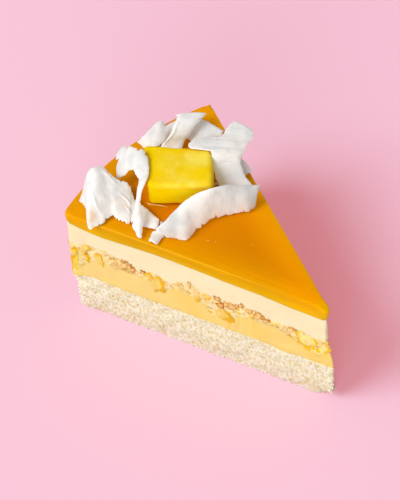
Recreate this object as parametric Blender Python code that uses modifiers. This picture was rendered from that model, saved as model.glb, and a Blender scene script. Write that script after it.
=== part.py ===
"""A slice of mango and coconut layer cake.

One ninth of a round cake stands on its sponge: sponge, mango curd, a crunchy layer of crumbs and mango
bits, vanilla cream and a mango jelly. A cube of mango and eight curled coconut shavings lie on top.
Lengths are in millimetres until they reach a mesh. The slice's tip points along +X, and the middle of
the floor it stands on is the origin.
"""

import math

import bmesh
import bpy
from mathutils import Vector, noise

MM = 0.001

# The slice seen from above
CAKE_RADIUS = 100.0
HALF_ANGLE = math.radians(20.0)
TIP_X = 50.8
TIP_ROUND = 0.8
CORNER_ROUND = 1.5
TIP_STEPS, CUT_STEPS, CORNER_STEPS, RIM_STEPS = 4, 38, 3, 22

# The layers, from the floor up
SPONGE_TOP = 19.0
CURD_TOP_AT_TIP, CURD_TOP_AT_RIM = 29.6, 31.6
CRUNCH_TOP_AT_TIP, CRUNCH_TOP_AT_RIM = 32.8, 37.4
CREAM_TOP = 46.6
JELLY_TOP = 52.0
JELLY_CUT_ROUND, JELLY_RIM_ROUND = 0.6, 1.2
LAYER_GAP = 0.3
EDGE_BAND = 4.0

# Bits that hang below or stand above the crunchy layer's faces: (walk round the cut, height, half width).
# The walk follows the front cut from the tip to 100, then the rim to 170 and the back cut to 270.
MANGO_BITS_BELOW = [
    (5, 6.5, 3.0), (12, 3.5, 3.0), (38, 5.0, 2.6), (44, 7.0, 3.2), (65, 4.5, 3.2), (98, 8.5, 5.0),
    (118, 3.5, 3.6), (131, 6.0, 3.2), (152, 4.5, 4.0), (178, 6.0, 3.4), (201, 3.5, 3.0), (214, 6.5, 3.4),
    (239, 4.5, 3.2), (252, 5.5, 3.0),
]
CRUMBS_ABOVE = [
    (53, 3.0, 2.6), (61, -2.5, 2.8), (73, -3.4, 2.8), (88, 1.0, 4.0), (29, 1.6, 3.4), (110, 1.4, 3.0),
    (139, -2.2, 3.2), (160, 1.8, 3.0), (190, -2.4, 3.0), (208, 2.4, 2.8), (228, -1.8, 3.0), (244, 1.6, 3.0),
]

# The mango cube: where its middle is, its size, its turn about Z and how far it leans out of square
CUBE_MIDDLE = (-22.3, 1.8)
CUBE_SIZE = (22.8, 17.6, 10.6)
CUBE_TURN = math.radians(42.0)
CUBE_SKEW = math.tan(math.radians(6.0))
CUBE_ROUND = 1.2

# The coconut shavings are curled strips. Each station across a strip is a pair of points, one on each
# edge, as (x, y, height above the jelly). The bow lifts the middle of the strip between its edges.
SHAVING_THICKNESS = 0.9
SHAVING_STEPS_ACROSS = 4
SHAVINGS = {
    "coconut_shaving_fold": {
        "bow": 2.4,
        "stations": [
            ((-43.2, -24.8, 1.8), (-41.6, -27.4, 1.2)),
            ((-43.8, -23.6, 4.4), (-37.2, -28.6, 1.8)),
            ((-44.5, -21.3, 7.4), (-31.8, -32.2, 0.9)),
            ((-44.5, -19.8, 8.6), (-30.2, -31.0, 1.7)),
            ((-44.0, -18.0, 9.2), (-29.0, -29.0, 2.4)),
            ((-41.5, -15.5, 8.2), (-28.5, -25.5, 2.6)),
            ((-37.0, -15.0, 6.5), (-26.0, -24.0, 2.0)),
            ((-32.0, -12.9, 6.0), (-23.0, -22.5, 1.0)),
            ((-27.5, -14.8, 3.0), (-22.5, -21.0, 0.8)),
            ((-23.0, -14.0, 1.6), (-18.5, -19.5, 0.8)),
            ((-16.5, -14.0, 1.0), (-14.0, -17.0, 0.8)),
        ],
    },
    "coconut_shaving_curl": {
        "bow": 1.2,
        "stations": [
            ((-44.0, -7.0, 9.0), (-38.0, -13.0, 3.5)),
            ((-42.0, -5.0, 10.6), (-37.0, -10.0, 6.0)),
            ((-38.5, -4.5, 12.0), (-35.0, -9.0, 8.3)),
            ((-34.0, -3.5, 12.4), (-32.0, -10.0, 9.6)),
            ((-29.0, -6.0, 11.9), (-28.5, -11.5, 9.3)),
            ((-26.0, -9.5, 11.6), (-27.0, -13.5, 8.5)),
            ((-24.5, -13.2, 9.8), (-25.0, -16.0, 7.4)),
            ((-23.0, -15.8, 7.4), (-23.5, -18.0, 6.0)),
            ((-21.0, -17.5, 5.4), (-21.5, -21.0, 4.8)),
            ((-18.5, -19.5, 3.4), (-19.5, -23.0, 3.0)),
            ((-15.2, -23.6, 1.0), (-15.8, -24.2, 1.0)),
        ],
    },
    "coconut_shaving_rear_left": {
        "bow": 1.2,
        "stations": [
            ((-47.5, 3.5, 1.5), (-45.0, 4.0, 0.8)),
            ((-46.5, 8.0, 4.0), (-43.5, 6.0, 0.8)),
            ((-46.0, 13.5, 5.5), (-42.0, 7.5, 0.8)),
            ((-44.0, 14.5, 4.0), (-41.0, 10.0, 0.8)),
            ((-44.5, 18.0, 2.6), (-41.5, 13.0, 0.8)),
            ((-44.5, 21.5, 1.2), (-41.0, 16.0, 0.8)),
        ],
    },
    "coconut_shaving_rear_middle": {
        "bow": 0.8,
        "stations": [
            ((-39.5, 6.0, 1.2), (-33.5, 11.0, 1.2)),
            ((-39.5, 8.5, 2.6), (-35.0, 14.5, 2.4)),
            ((-39.0, 12.0, 5.0), (-35.0, 17.0, 4.2)),
            ((-40.0, 14.5, 6.4), (-35.5, 19.5, 5.2)),
            ((-41.5, 17.5, 7.0), (-36.0, 22.5, 5.6)),
            ((-43.7, 19.2, 6.0), (-37.5, 27.5, 4.8)),
        ],
    },
    "coconut_shaving_rear_right": {
        "bow": 1.0,
        "stations": [
            ((-43.0, 26.0, 0.8), (-39.0, 18.0, 0.8)),
            ((-38.0, 26.0, 2.4), (-34.5, 17.5, 0.8)),
            ((-35.0, 26.5, 2.6), (-32.0, 20.5, 0.8)),
            ((-32.0, 27.0, 2.0), (-30.5, 24.0, 0.8)),
            ((-29.5, 28.0, 1.0), (-29.0, 26.5, 0.8)),
        ],
    },
    "coconut_shaving_fork": {
        "bow": 0.8,
        "stations": [
            ((-11.0, 9.5, 0.8), (-3.5, 17.0, 0.8)),
            ((-12.4, 9.9, 2.5), (-5.0, 18.0, 1.8)),
            ((-14.4, 10.9, 5.0), (-8.5, 18.5, 3.5)),
            ((-15.8, 12.1, 7.8), (-11.0, 19.5, 5.5)),
            ((-17.3, 13.5, 10.0), (-12.0, 20.5, 7.3)),
            ((-18.5, 13.8, 11.6), (-12.5, 21.5, 8.0)),
            ((-21.0, 11.8, 12.0), (-12.5, 22.5, 8.6)),
            ((-24.6, 9.6, 12.1), (-13.0, 23.0, 9.0)),
            ((-26.4, 10.4, 12.3), (-13.0, 23.5, 9.6)),
            ((-24.6, 15.2, 12.5), (-13.0, 24.5, 10.2)),
            ((-22.0, 17.2, 12.9), (-13.0, 25.0, 10.8)),
            ((-20.5, 19.8, 13.4), (-12.5, 26.0, 11.8)),
            ((-20.5, 22.2, 14.4), (-12.5, 27.5, 13.0)),
            ((-20.5, 24.6, 15.2), (-14.0, 28.0, 14.2)),
            ((-20.0, 26.2, 15.4), (-15.5, 27.2, 15.0)),
        ],
    },
    "coconut_shaving_front": {
        "bow": 1.6,
        "stations": [
            ((-12.0, -22.5, 0.8), (-10.0, -21.5, 0.8)),
            ((-13.5, -19.5, 1.2), (-10.0, -19.5, 0.8)),
            ((-13.5, -17.2, 2.5), (-10.5, -17.5, 0.8)),
            ((-12.5, -14.5, 4.5), (-7.5, -16.0, 0.8)),
            ((-12.0, -9.0, 7.0), (-4.0, -13.0, 0.8)),
            ((-10.9, -6.0, 9.2), (-4.6, -8.2, 0.8)),
            ((-9.1, -2.1, 11.2), (-4.4, -4.6, 0.8)),
            ((-7.0, 1.5, 11.9), (-4.2, -0.6, 0.8)),
            ((-5.8, 5.8, 10.9), (-2.6, 1.8, 0.8)),
            ((-4.0, 10.0, 9.0), (0.0, 6.5, 0.8)),
            ((-1.5, 13.5, 8.0), (2.5, 9.5, 0.8)),
            ((1.2, 16.8, 7.5), (2.6, 12.7, 0.9)),
        ],
    },
    "coconut_shaving_shard": {
        "bow": 0.3,
        "stations": [
            ((-15.0, 22.0, 3.6), (-14.0, 23.0, 3.6)),
            ((-13.5, 21.0, 2.0), (-11.5, 23.0, 2.0)),
            ((-10.5, 20.0, 0.8), (-10.0, 22.8, 0.8)),
        ],
    },
}

# Colour and roughness of each material
MATERIALS = {
    "sponge": ((0.82, 0.72, 0.50), 0.95),
    "curd": ((0.98, 0.62, 0.16), 0.45),
    "crunch": ((0.72, 0.40, 0.10), 0.75),
    "cream": ((0.98, 0.84, 0.58), 0.40),
    "jelly": ((0.80, 0.28, 0.0), 0.15),
    "mango": ((0.92, 0.62, 0.01), 0.30),
    "coconut": ((0.88, 0.84, 0.80), 0.55),
}


def clear_scene():
    for obj in list(bpy.data.objects):
        bpy.data.objects.remove(obj, do_unlink=True)


def make_material(name):
    colour, roughness = MATERIALS[name]
    material = bpy.data.materials.new(name)
    material.use_nodes = True
    shader = material.node_tree.nodes["Principled BSDF"]
    shader.inputs["Base Color"].default_value = (*colour, 1.0)
    shader.inputs["Roughness"].default_value = roughness
    shader.inputs["Metallic"].default_value = 0.0
    return material


def add_object(name, bm, material, collection):
    """Turns a finished bmesh, whose lengths are in millimetres, into an object in metres."""
    bmesh.ops.scale(bm, vec=(MM, MM, MM), verts=bm.verts)
    mesh = bpy.data.meshes.new(name)
    bm.to_mesh(mesh)
    bm.free()
    mesh.materials.append(material)
    obj = bpy.data.objects.new(name, mesh)
    collection.objects.link(obj)
    return obj


def arc(centre, radius, start, end, steps):
    """Points with their outward directions from one angle to the other, without the last."""
    for step in range(steps):
        angle = start + (end - start) * step / steps
        way = Vector((math.cos(angle), math.sin(angle)))
        yield centre + way * radius, way


def straight(start, end, way, steps):
    for step in range(steps):
        yield start.lerp(end, step / steps), way


def slice_outline(inset):
    """The slice's rounded outline this far inside its own, counterclockwise from above, from the tip.

    It is worked out with the tip at zero and the slice opening along +X, then turned to face its tip to
    +X, which also reverses the order of the points.
    """
    tip_round = max(TIP_ROUND - inset, 0.2)
    corner_round = max(CORNER_ROUND - inset, 0.5)
    tip_middle = Vector(((inset + tip_round) / math.sin(HALF_ANGLE), 0.0))
    normal_turn = math.pi / 2 + HALF_ANGLE
    normal = Vector((math.cos(normal_turn), math.sin(normal_turn)))
    along_cut = Vector((math.cos(HALF_ANGLE), math.sin(HALF_ANGLE)))
    corner_depth = inset + corner_round
    corner_reach = math.sqrt((CAKE_RADIUS - corner_depth) ** 2 - corner_depth**2)
    corner_middle = along_cut * corner_reach - normal * corner_depth
    rim_turn = math.atan2(corner_middle.y, corner_middle.x)
    flip = Vector((1.0, -1.0))
    cut_start = tip_middle + normal * tip_round
    cut_end = corner_middle + normal * corner_round
    points = [
        *arc(tip_middle, tip_round, 2 * math.pi - normal_turn, normal_turn, TIP_STEPS),
        *straight(cut_start, cut_end, normal, CUT_STEPS),
        *arc(corner_middle, corner_round, normal_turn, rim_turn, CORNER_STEPS),
        *arc(Vector((0.0, 0.0)), CAKE_RADIUS - inset, rim_turn, -rim_turn, RIM_STEPS),
        *arc(corner_middle * flip, corner_round, -rim_turn, -normal_turn, CORNER_STEPS),
        *straight(cut_end * flip, cut_start * flip, normal * flip, CUT_STEPS),
    ]
    return [(Vector((TIP_X - point.x, point.y)), Vector((-way.x, way.y))) for point, way in points]


OUTLINE = slice_outline(0.0)
INNER_OUTLINE = slice_outline(EDGE_BAND)
TIP = Vector((TIP_X, 0.0))


def walk_to(point):
    """How far an outline point is from the tip, going by the front cut, the rim and the back cut."""
    from_tip = point - TIP
    turn = math.atan2(from_tip.y, -from_tip.x) + HALF_ANGLE
    if from_tip.length > CAKE_RADIUS - CORNER_ROUND or turn < HALF_ANGLE:
        return from_tip.length + CAKE_RADIUS * turn
    return CAKE_RADIUS * (2 + 2 * HALF_ANGLE) - from_tip.length


WALKS = [walk_to(point) for point, _ in OUTLINE]


def rough(point, size, seed):
    """Smooth unevenness from -1 to 1, with bumps about this many millimetres across."""
    return noise.noise(Vector((point.x / size, point.y / size, seed)))


def reach(point):
    """0 at the tip of the slice, 1 at its rim."""
    return min((point - TIP).length / CAKE_RADIUS, 1.0)


def bumps(walk, features):
    return sum(height * math.exp(-(((walk - at) / width) ** 2)) for at, height, width in features)


def spread(index, at_tip, at_rim):
    """How far a lower layer stands out from under the jelly: this much at the tip and along the rim."""
    near_tip = math.exp(-(((OUTLINE[index][0] - TIP).length / 5.0) ** 2))
    from_cuts = min(WALKS[index] - 94.0, 176.0 - WALKS[index]) / 6.0
    return at_tip * near_tip + at_rim * min(max(from_cuts, 0.0), 1.0)


def sponge_top(index):
    return SPONGE_TOP + 0.7 * rough(OUTLINE[index][0], 9.0, 1.0)


def curd_top(index):
    point = OUTLINE[index][0]
    level = CURD_TOP_AT_TIP + (CURD_TOP_AT_RIM - CURD_TOP_AT_TIP) * reach(point)
    return level + 0.9 * rough(point, 6.0, 2.0) - bumps(WALKS[index], MANGO_BITS_BELOW)


def crunch_top(index):
    point = OUTLINE[index][0]
    level = CRUNCH_TOP_AT_TIP + (CRUNCH_TOP_AT_RIM - CRUNCH_TOP_AT_TIP) * reach(point)
    return level + 0.9 * rough(point, 5.0, 3.0) + bumps(WALKS[index], CRUMBS_ABOVE)


def cream_top(index):
    return CREAM_TOP + 1.1 * rough(OUTLINE[index][0], 26.0, 4.0)


def outer_ring(height, push):
    """One loop round the slice: its heights, and how far it stands out of the cut, by outline point."""
    ring = []
    for index, (point, way) in enumerate(OUTLINE):
        place = point + way * push(index)
        ring.append(Vector((place.x, place.y, height(index))))
    return ring


def inner_ring(height):
    return [Vector((point.x, point.y, height)) for point, _ in INNER_OUTLINE]


def face_between_layers(height, middle_height, push):
    """The two loops that a pair of touching layers shares: at the cut, and a band inside it."""
    return {"edge": outer_ring(height, push), "inner": inner_ring(middle_height)}


def raised(ring, lift):
    return [point + Vector((0.0, 0.0, lift)) for point in ring]


def side_rings(lower, upper, rows, relief):
    """Loops up the side of a layer from its lower to its upper edge, roughened between them."""
    rings = [lower]
    for row in range(1, rows):
        share = row / rows
        ring = []
        for index, (_, way) in enumerate(OUTLINE):
            point = lower[index].lerp(upper[index], share)
            push = relief(index, point.z)
            ring.append(point + Vector((way.x * push, way.y * push, 0.0)))
        rings.append(ring)
    rings.append(upper)
    return rings


def loft(rings):
    """A closed body through loops of equal length, bottom to top, with flat ends.

    The first band is split along its other diagonals, as the last band of the layer below is, so that
    the gap between the two is even.
    """
    bm = bmesh.new()
    loops = [[bm.verts.new(point) for point in ring] for ring in rings]
    for band, (lower, upper) in enumerate(zip(loops, loops[1:])):
        for index in range(len(lower)):
            a, b = lower[index - 1], lower[index]
            c, d = upper[index], upper[index - 1]
            halves = ((a, b, d), (b, c, d)) if band == 0 else ((a, b, c), (a, c, d))
            for half in halves:
                bm.faces.new(half)
    ends = [bm.faces.new(loops[0][::-1]), bm.faces.new(loops[-1])]
    bmesh.ops.triangulate(bm, faces=ends)
    return bm


def add_layer(name, lower, upper, rows, relief, material, collection):
    """A layer between two shared faces. Half the gap to each neighbour comes off it."""
    lift = LAYER_GAP / 2
    bottom = raised(lower["edge"], lift)
    top = raised(upper["edge"], -lift)
    rings = [raised(lower["inner"], lift)]
    rings += side_rings(bottom, top, rows, relief)
    rings.append(raised(upper["inner"], -lift))
    obj = add_object(name, loft(rings), material, collection)
    obj.data.shade_flat()
    return obj


def add_sponge(top_face, material, collection):
    """The sponge stands on the floor, so it has no face to share below it."""
    def crumb(index, height):
        point = OUTLINE[index][0]
        return 0.75 * noise.noise(Vector((point.x / 3.4, point.y / 3.4, height / 3.0)))

    def at_floor(index):
        return -0.1 + 0.4 * rough(OUTLINE[index][0], 5.0, 9.0) + spread(index, 1.2, 1.5)

    floor = outer_ring(lambda index: 0.0, at_floor)
    rings = side_rings(floor, raised(top_face["edge"], -LAYER_GAP / 2), 8, crumb)
    rings.append(raised(top_face["inner"], -LAYER_GAP / 2))
    return add_object("sponge", loft(rings), material, collection)


def add_jelly(bottom_face, material, collection):
    """The jelly's cut edge is nearly sharp, and its rim, which set against the mould, is rounder."""
    def edge_round(index):
        front_end, back_end = 98.0, 172.0
        on_rim = front_end < WALKS[index] < back_end
        return JELLY_RIM_ROUND if on_rim else JELLY_CUT_ROUND

    def shoulder(turn):
        drop = 1.0 - math.sin(turn)
        inset = 1.0 - math.cos(turn)
        return outer_ring(
            lambda index: JELLY_TOP - edge_round(index) * drop,
            lambda index: spread(index, 0.6, 0.2) - edge_round(index) * inset,
        )

    bottom = raised(bottom_face["edge"], LAYER_GAP / 2)
    shoulder_steps = 3
    rings = [raised(bottom_face["inner"], LAYER_GAP / 2)]
    rings += side_rings(bottom, shoulder(0.0), 2, lambda index, height: 0.1)
    rings += [shoulder(math.pi / 2 * step / shoulder_steps) for step in range(1, shoulder_steps + 1)]
    return add_object("mango_jelly", loft(rings), material, collection)


def add_layers(materials, collection):
    def at_sponge(index):
        return 0.1 + 0.3 * rough(OUTLINE[index][0], 4.0, 5.0) + spread(index, 1.8, 1.4)

    def at_curd(index):
        return -0.1 + 0.25 * rough(OUTLINE[index][0], 5.0, 6.0) + spread(index, 1.6, 1.0)

    def at_crunch(index):
        return -0.2 + 0.25 * rough(OUTLINE[index][0], 4.0, 7.0) + spread(index, 0.9, 0.7)

    def at_cream(index):
        return -0.2 + spread(index, -0.1, 0.3)

    def smooth_cut(index, height):
        return 0.12 * rough(OUTLINE[index][0], 12.0, height / 12.0)

    def crumbly_cut(index, height):
        point = OUTLINE[index][0]
        return 0.1 + 0.8 * noise.noise(Vector((point.x / 3.6, point.y / 3.6, height / 2.4)))

    above_sponge = face_between_layers(sponge_top, SPONGE_TOP, at_sponge)
    above_curd = face_between_layers(curd_top, (CURD_TOP_AT_TIP + CURD_TOP_AT_RIM) / 2, at_curd)
    above_crunch = face_between_layers(
        crunch_top, (CRUNCH_TOP_AT_TIP + CRUNCH_TOP_AT_RIM) / 2, at_crunch
    )
    above_cream = face_between_layers(cream_top, CREAM_TOP, at_cream)
    add_sponge(above_sponge, materials["sponge"], collection)
    add_layer(
        "mango_curd", above_sponge, above_curd, 3, smooth_cut, materials["curd"], collection
    )
    add_layer(
        "crunch_layer", above_curd, above_crunch, 4, crumbly_cut, materials["crunch"], collection
    )
    add_layer(
        "vanilla_cream", above_crunch, above_cream, 3, smooth_cut, materials["cream"], collection
    )
    add_jelly(above_cream, materials["jelly"], collection)


def add_mango_cube(material, collection):
    """A hand-cut block: a little out of square, its edges softened by its own juice."""
    bm = bmesh.new()
    bmesh.ops.create_cube(bm, size=1.0)
    bmesh.ops.scale(bm, vec=CUBE_SIZE, verts=bm.verts)
    for vert in bm.verts:
        vert.co.x -= CUBE_SKEW * vert.co.y
    bmesh.ops.bevel(
        bm, geom=bm.edges[:], offset=CUBE_ROUND, segments=3, profile=0.5, affect="EDGES", clamp_overlap=True
    )
    obj = add_object("mango_cube", bm, material, collection)
    height = JELLY_TOP + LAYER_GAP + CUBE_SIZE[2] / 2
    obj.location = Vector((*CUBE_MIDDLE, height)) * MM
    obj.rotation_euler = (0.0, 0.0, CUBE_TURN)
    obj.data.shade_smooth()
    return obj


def smooth_between(points, place):
    """The point at this place, counted in stations, on a smooth curve through the points."""
    index = min(int(place), len(points) - 2)
    share = place - index
    before = points[max(index - 1, 0)]
    start, end = points[index], points[index + 1]
    after = points[min(index + 2, len(points) - 1)]
    lead_in = (end - before) / 2
    lead_out = (after - start) / 2
    square, cube = share**2, share**3
    return (
        start * (2 * cube - 3 * square + 1)
        + lead_in * (cube - 2 * square + share)
        + end * (3 * square - 2 * cube)
        + lead_out * (cube - square)
    )


def add_shaving(name, stations, bow, material, collection):
    """A thin strip lofted across its two edges, bowed between them and given its thickness."""
    steps_between = 1 if len(stations) > 12 else 2
    along = (len(stations) - 1) * steps_between
    left, right = (
        [Vector(station[side]) + Vector((0.0, 0.0, JELLY_TOP)) for station in stations] for side in (0, 1)
    )
    widest = max((a - b).length for a, b in zip(left, right))
    bm = bmesh.new()
    bmesh.ops.create_grid(bm, x_segments=along, y_segments=SHAVING_STEPS_ACROSS, size=0.5)
    for vert in bm.verts:
        place = (vert.co.x + 0.5) * along / steps_between
        across = vert.co.y + 0.5
        start = smooth_between(left, place)
        end = smooth_between(right, place)
        lift = bow * 4 * across * (1 - across) * (start - end).length / widest
        vert.co = start.lerp(end, across) + Vector((0.0, 0.0, lift))
    bmesh.ops.triangulate(bm, faces=bm.faces, quad_method="FIXED")
    bmesh.ops.recalc_face_normals(bm, faces=bm.faces)
    obj = add_object(name, bm, material, collection)
    wall = obj.modifiers.new("thickness", "SOLIDIFY")
    wall.thickness = SHAVING_THICKNESS * MM
    wall.offset = 0.0
    obj.data.shade_smooth()
    return obj


def main():
    clear_scene()
    collection = bpy.data.collections.new("mango_coconut_cake_slice")
    bpy.context.scene.collection.children.link(collection)
    materials = {name: make_material(name) for name in MATERIALS}
    add_layers(materials, collection)
    add_mango_cube(materials["mango"], collection)
    for name, strip in SHAVINGS.items():
        add_shaving(name, strip["stations"], strip["bow"], materials["coconut"], collection)


main()
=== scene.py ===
"""A slice of mango and coconut layer cake, dressed for its photograph.

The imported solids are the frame. Each layer and topping is a finer piece in the place of its solid, from
the sponge on the floor up to the coconut on top. A length is in metres and is written as millimetres
times MM. Lists of places, and the numbers that shape a relief, are plain millimetres. The slice's tip
points along +X, and its lit front cut faces -Y.
"""

import math
import random

import bpy
import numpy as np
from mathutils import Matrix, Vector, kdtree, noise


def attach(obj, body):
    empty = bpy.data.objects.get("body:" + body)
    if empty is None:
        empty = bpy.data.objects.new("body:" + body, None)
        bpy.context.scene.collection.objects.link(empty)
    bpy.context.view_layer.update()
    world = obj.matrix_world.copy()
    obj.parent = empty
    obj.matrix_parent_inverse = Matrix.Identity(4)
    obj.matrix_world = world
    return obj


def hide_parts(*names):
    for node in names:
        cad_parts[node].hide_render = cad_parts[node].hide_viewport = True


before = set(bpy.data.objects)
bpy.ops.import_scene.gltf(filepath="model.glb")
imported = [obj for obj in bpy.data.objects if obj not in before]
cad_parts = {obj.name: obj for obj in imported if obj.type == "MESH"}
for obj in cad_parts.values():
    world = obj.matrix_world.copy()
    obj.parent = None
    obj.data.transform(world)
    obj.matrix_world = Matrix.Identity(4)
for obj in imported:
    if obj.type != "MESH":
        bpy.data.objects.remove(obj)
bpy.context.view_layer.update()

# Sponge
# The base is a pale coconut sponge, baked in a sheet 19 mm thick. Its crumb is open, and the knife tore
# it, so that pores and grain show all over the cut. It is the solid with a far finer, torn cut face.
MM = 0.001
CAKE_RADIUS = 100 * MM
HALF_ANGLE = math.radians(20)
TIP = Vector((50.8 * MM, 0.0))
WELD_REACH = 0.001 * MM
EDGE_BAND = 2.5 * MM
SPONGE_CUTS = 7
SPONGE_FACE = (0.4 * MM, 18.6 * MM)
SPONGE_CORNERS = tuple(Vector(corner) for corner in ((50.5, 0.0), (-43.2, -34.8), (-43.2, 34.8)))
CORNER_REACH = (1.5, 3.5)
TIP_SHARP_REACH = (9 * MM, 16 * MM)
TIP_LEAN_HEIGHTS = (6, 19, 24, 30, 34, 40, 44)
TIP_LEANS = (0.0, 0.5, 0.2, -1.2, -1.2, -0.3, 0.0)
TIP_LEAN_RADIUS = 5.0
TIP_CHIP = Vector((-2.1, 3.5, 0.0))
TIP_CHIP_RADIUS = 4.0
TIP_CHIP_HEIGHTS = (0.4, 4.2)
CORNER_CHIP = 1.5
CORNER_CHIP_RADIUS = 3.2
RAGGED_FOOT = 0.9
RAGGED_FOOT_HEIGHT = 1.2
RAGGED_FOOT_WAVES = ((1.0, 1.1), (0.4, 0.5))
PORE_SPACING = 1.55
PORE_DEPTH = 0.26
GRAIN_SPACING = 0.8
GRAIN_WAVES = ((0.55, 0.9), (0.45, 0.45))
GRAIN_HEIGHT = 0.07
SPONGE_WAVES = ((0.10, 6),)
SPONGE_SWELL = 0.08
CRUMB_RISE = 0.6
SPONGE_COLOURS = ((0.84, 0.75, 0.60), (0.82, 0.66, 0.41), (0.74, 0.52, 0.24))
SPONGE_FOOT_SHADE = (0.95, 0.89, 0.93)
SPONGE_FOOT_SHADE_HEIGHTS = (12 * MM, 1.5 * MM)
SPONGE_PATCHES = ((0.87, 0.765, 0.56), (0.96, 0.935, 0.89), (1.04, 1.05, 1.08))
SPONGE_PATCH_SIZE = 1.0 * MM
SMALL_PORE = (0.80, 0.67, 0.43)
SMALL_PORE_SPACING = 1.7 * MM
WHITE = (1.0, 1.0, 1.0)


def select_only(piece):
    """Leaves this piece as the one that is selected and active."""
    for obj in bpy.context.selected_objects:
        obj.select_set(False)
    piece.select_set(True)
    bpy.context.view_layer.objects.active = piece


def welded_copy(node, name):
    """A copy of a solid whose loose triangles are joined into one smooth mesh."""
    piece = bpy.data.objects.new(name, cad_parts[node].data.copy())
    piece.data.materials.clear()
    bpy.context.scene.collection.objects.link(piece)
    select_only(piece)
    bpy.ops.object.mode_set(mode="EDIT")
    bpy.ops.mesh.select_all(action="SELECT")
    bpy.ops.mesh.customdata_custom_splitnormals_clear()
    bpy.ops.mesh.remove_doubles(threshold=WELD_REACH)
    bpy.ops.object.mode_set(mode="OBJECT")
    piece.data.shade_smooth()
    return piece


def open_chosen(piece, kind, chosen):
    """Opens the piece in edit mode with only its chosen faces or points selected."""
    bpy.ops.object.mode_set(mode="EDIT")
    bpy.ops.mesh.select_mode(type=kind)
    bpy.ops.mesh.select_all(action="DESELECT")
    bpy.ops.object.mode_set(mode="OBJECT")
    for element in piece.data.polygons if kind == "FACE" else piece.data.vertices:
        element.select = chosen(element)
    bpy.ops.object.mode_set(mode="EDIT")


def refine_sides(piece, cuts, steepest=0.6):
    """Divides the faces round a layer's side, which the cut shows, and leaves its flat faces coarse."""
    open_chosen(piece, "FACE", lambda face: abs(face.normal.z) < steepest)
    bpy.ops.mesh.subdivide(number_cuts=cuts)
    bpy.ops.mesh.select_mode(type="VERT")
    bpy.ops.object.mode_set(mode="OBJECT")


def smooth_where(piece, chosen, times):
    """Smooths the points whose place is chosen, on the level only, and leaves the others as they are."""
    open_chosen(piece, "VERT", lambda vert: chosen(vert.co))
    bpy.ops.mesh.vertices_smooth(factor=0.5, repeat=times, zaxis=False)
    bpy.ops.object.mode_set(mode="OBJECT")


def push_out(piece, relief):
    """Moves each point along its normal by relief(point), both in mm, and never below the floor."""
    normals = [normal.vector.copy() for normal in piece.data.vertex_normals]
    for vert, normal in zip(piece.data.vertices, normals):
        vert.co += normal * relief(vert.co / MM) * MM
        vert.co.z = max(vert.co.z, 0.0)
    piece.data.update()


def keep_rims_crisp(piece, angle=58):
    """Shades the piece smooth, but for edges where it turns by more than this many degrees."""
    select_only(piece)
    bpy.ops.object.shade_smooth_by_angle(angle=math.radians(angle))


def store(piece, name, values):
    """Keeps one number for each point of the mesh, for its material to read."""
    attribute = piece.data.attributes.new(name, "FLOAT", "POINT")
    attribute.data.foreach_set("value", values)


def smooth_step(low, high, value):
    """0 at low, 1 at high, with a soft start and end. Low may be the greater of the two."""
    share = min(max((value - low) / (high - low), 0.0), 1.0)
    return share * share * (3 - 2 * share)


def fading(away, radius):
    """1 in the middle of a bell-shaped hill, and about a third at this radius."""
    return math.exp(-((away / radius) ** 2))


def waves(point, sizes):
    """Random relief in mm at a point: the sum of soft waves that are each (height, size)."""
    return sum(height * noise.noise(point / size) for height, size in sizes)


def drawn_up(point):
    """The point with its height pressed together, so that a pattern read there is taller than wide."""
    return Vector((point.x, point.y, point.z * CRUMB_RISE))


def pore_depth(point):
    """0 on the crumb between the pores, up to 1 in the middle of a deep one."""
    point = drawn_up(point)
    spots, centres = noise.voronoi(point / PORE_SPACING)
    size = 0.29 + 0.24 * noise.noise(centres[0] * 9.1)
    large = 1 - smooth_step(size * 0.3, size, spots[0])
    spots, centres = noise.voronoi(point / GRAIN_SPACING)
    small = 0.5 * (1 - smooth_step(0.12, 0.42, spots[0])) * (noise.noise(centres[0] * 5.3) > 0.05)
    return max(large, small)


def corner_share(point):
    """1 at the tip and at the two corners, where the sponge is too narrow for pores, 0 elsewhere."""
    nearest = min((Vector((point.x, point.y)) - corner).length for corner in SPONGE_CORNERS)
    return 1 - smooth_step(*CORNER_REACH, nearest)


def grain_at(point):
    """Above 0 on the small clumps of the crumb, and below 0 between them."""
    return waves(drawn_up(point), GRAIN_WAVES)


def hollow_at(point):
    """0 on top of the crumb, up to 1 in the middle of a pore."""
    return max(pore_depth(point), 0.35 * smooth_step(0.0, -0.34, grain_at(point)))


def crumb_relief(point):
    pores = PORE_DEPTH * pore_depth(point) * (1 - corner_share(point))
    return waves(point, SPONGE_WAVES) + GRAIN_HEIGHT * grain_at(point) - pores + SPONGE_SWELL


def well_inside_cut(place):
    low, high = SPONGE_FACE
    return low < place.z < high and corner_share(place / MM) < 0.5


def from_tip_to(place):
    """The level way from the slice's tip to this place."""
    return Vector((place.x, place.y)) - TIP


def sharpen_tip(piece, reach):
    """Brings the sides near the tip back to the cuts, so that they meet in a sharp arris.

    What stands out of a cut by more than the reach, in metres, is moved in.
    """
    for vert in piece.data.vertices:
        for side in (-1, 1):
            out = Vector((math.sin(HALF_ANGLE), side * math.cos(HALF_ANGLE)))
            from_tip = from_tip_to(vert.co)
            over = from_tip.dot(out) - reach
            near = 1 - smooth_step(*TIP_SHARP_REACH, from_tip.length)
            vert.co.xy -= out * max(over, 0.0) * near
    piece.data.update()


def lean_tip(piece):
    """Draws the tip out at the top of the sponge and in at the crunchy layer, as the knife left it."""
    for vert in piece.data.vertices:
        moved = float(np.interp(vert.co.z / MM, TIP_LEAN_HEIGHTS, TIP_LEANS))
        vert.co.x += moved * fading(from_tip_to(vert.co).length / MM, TIP_LEAN_RADIUS) * MM
    piece.data.update()


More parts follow.
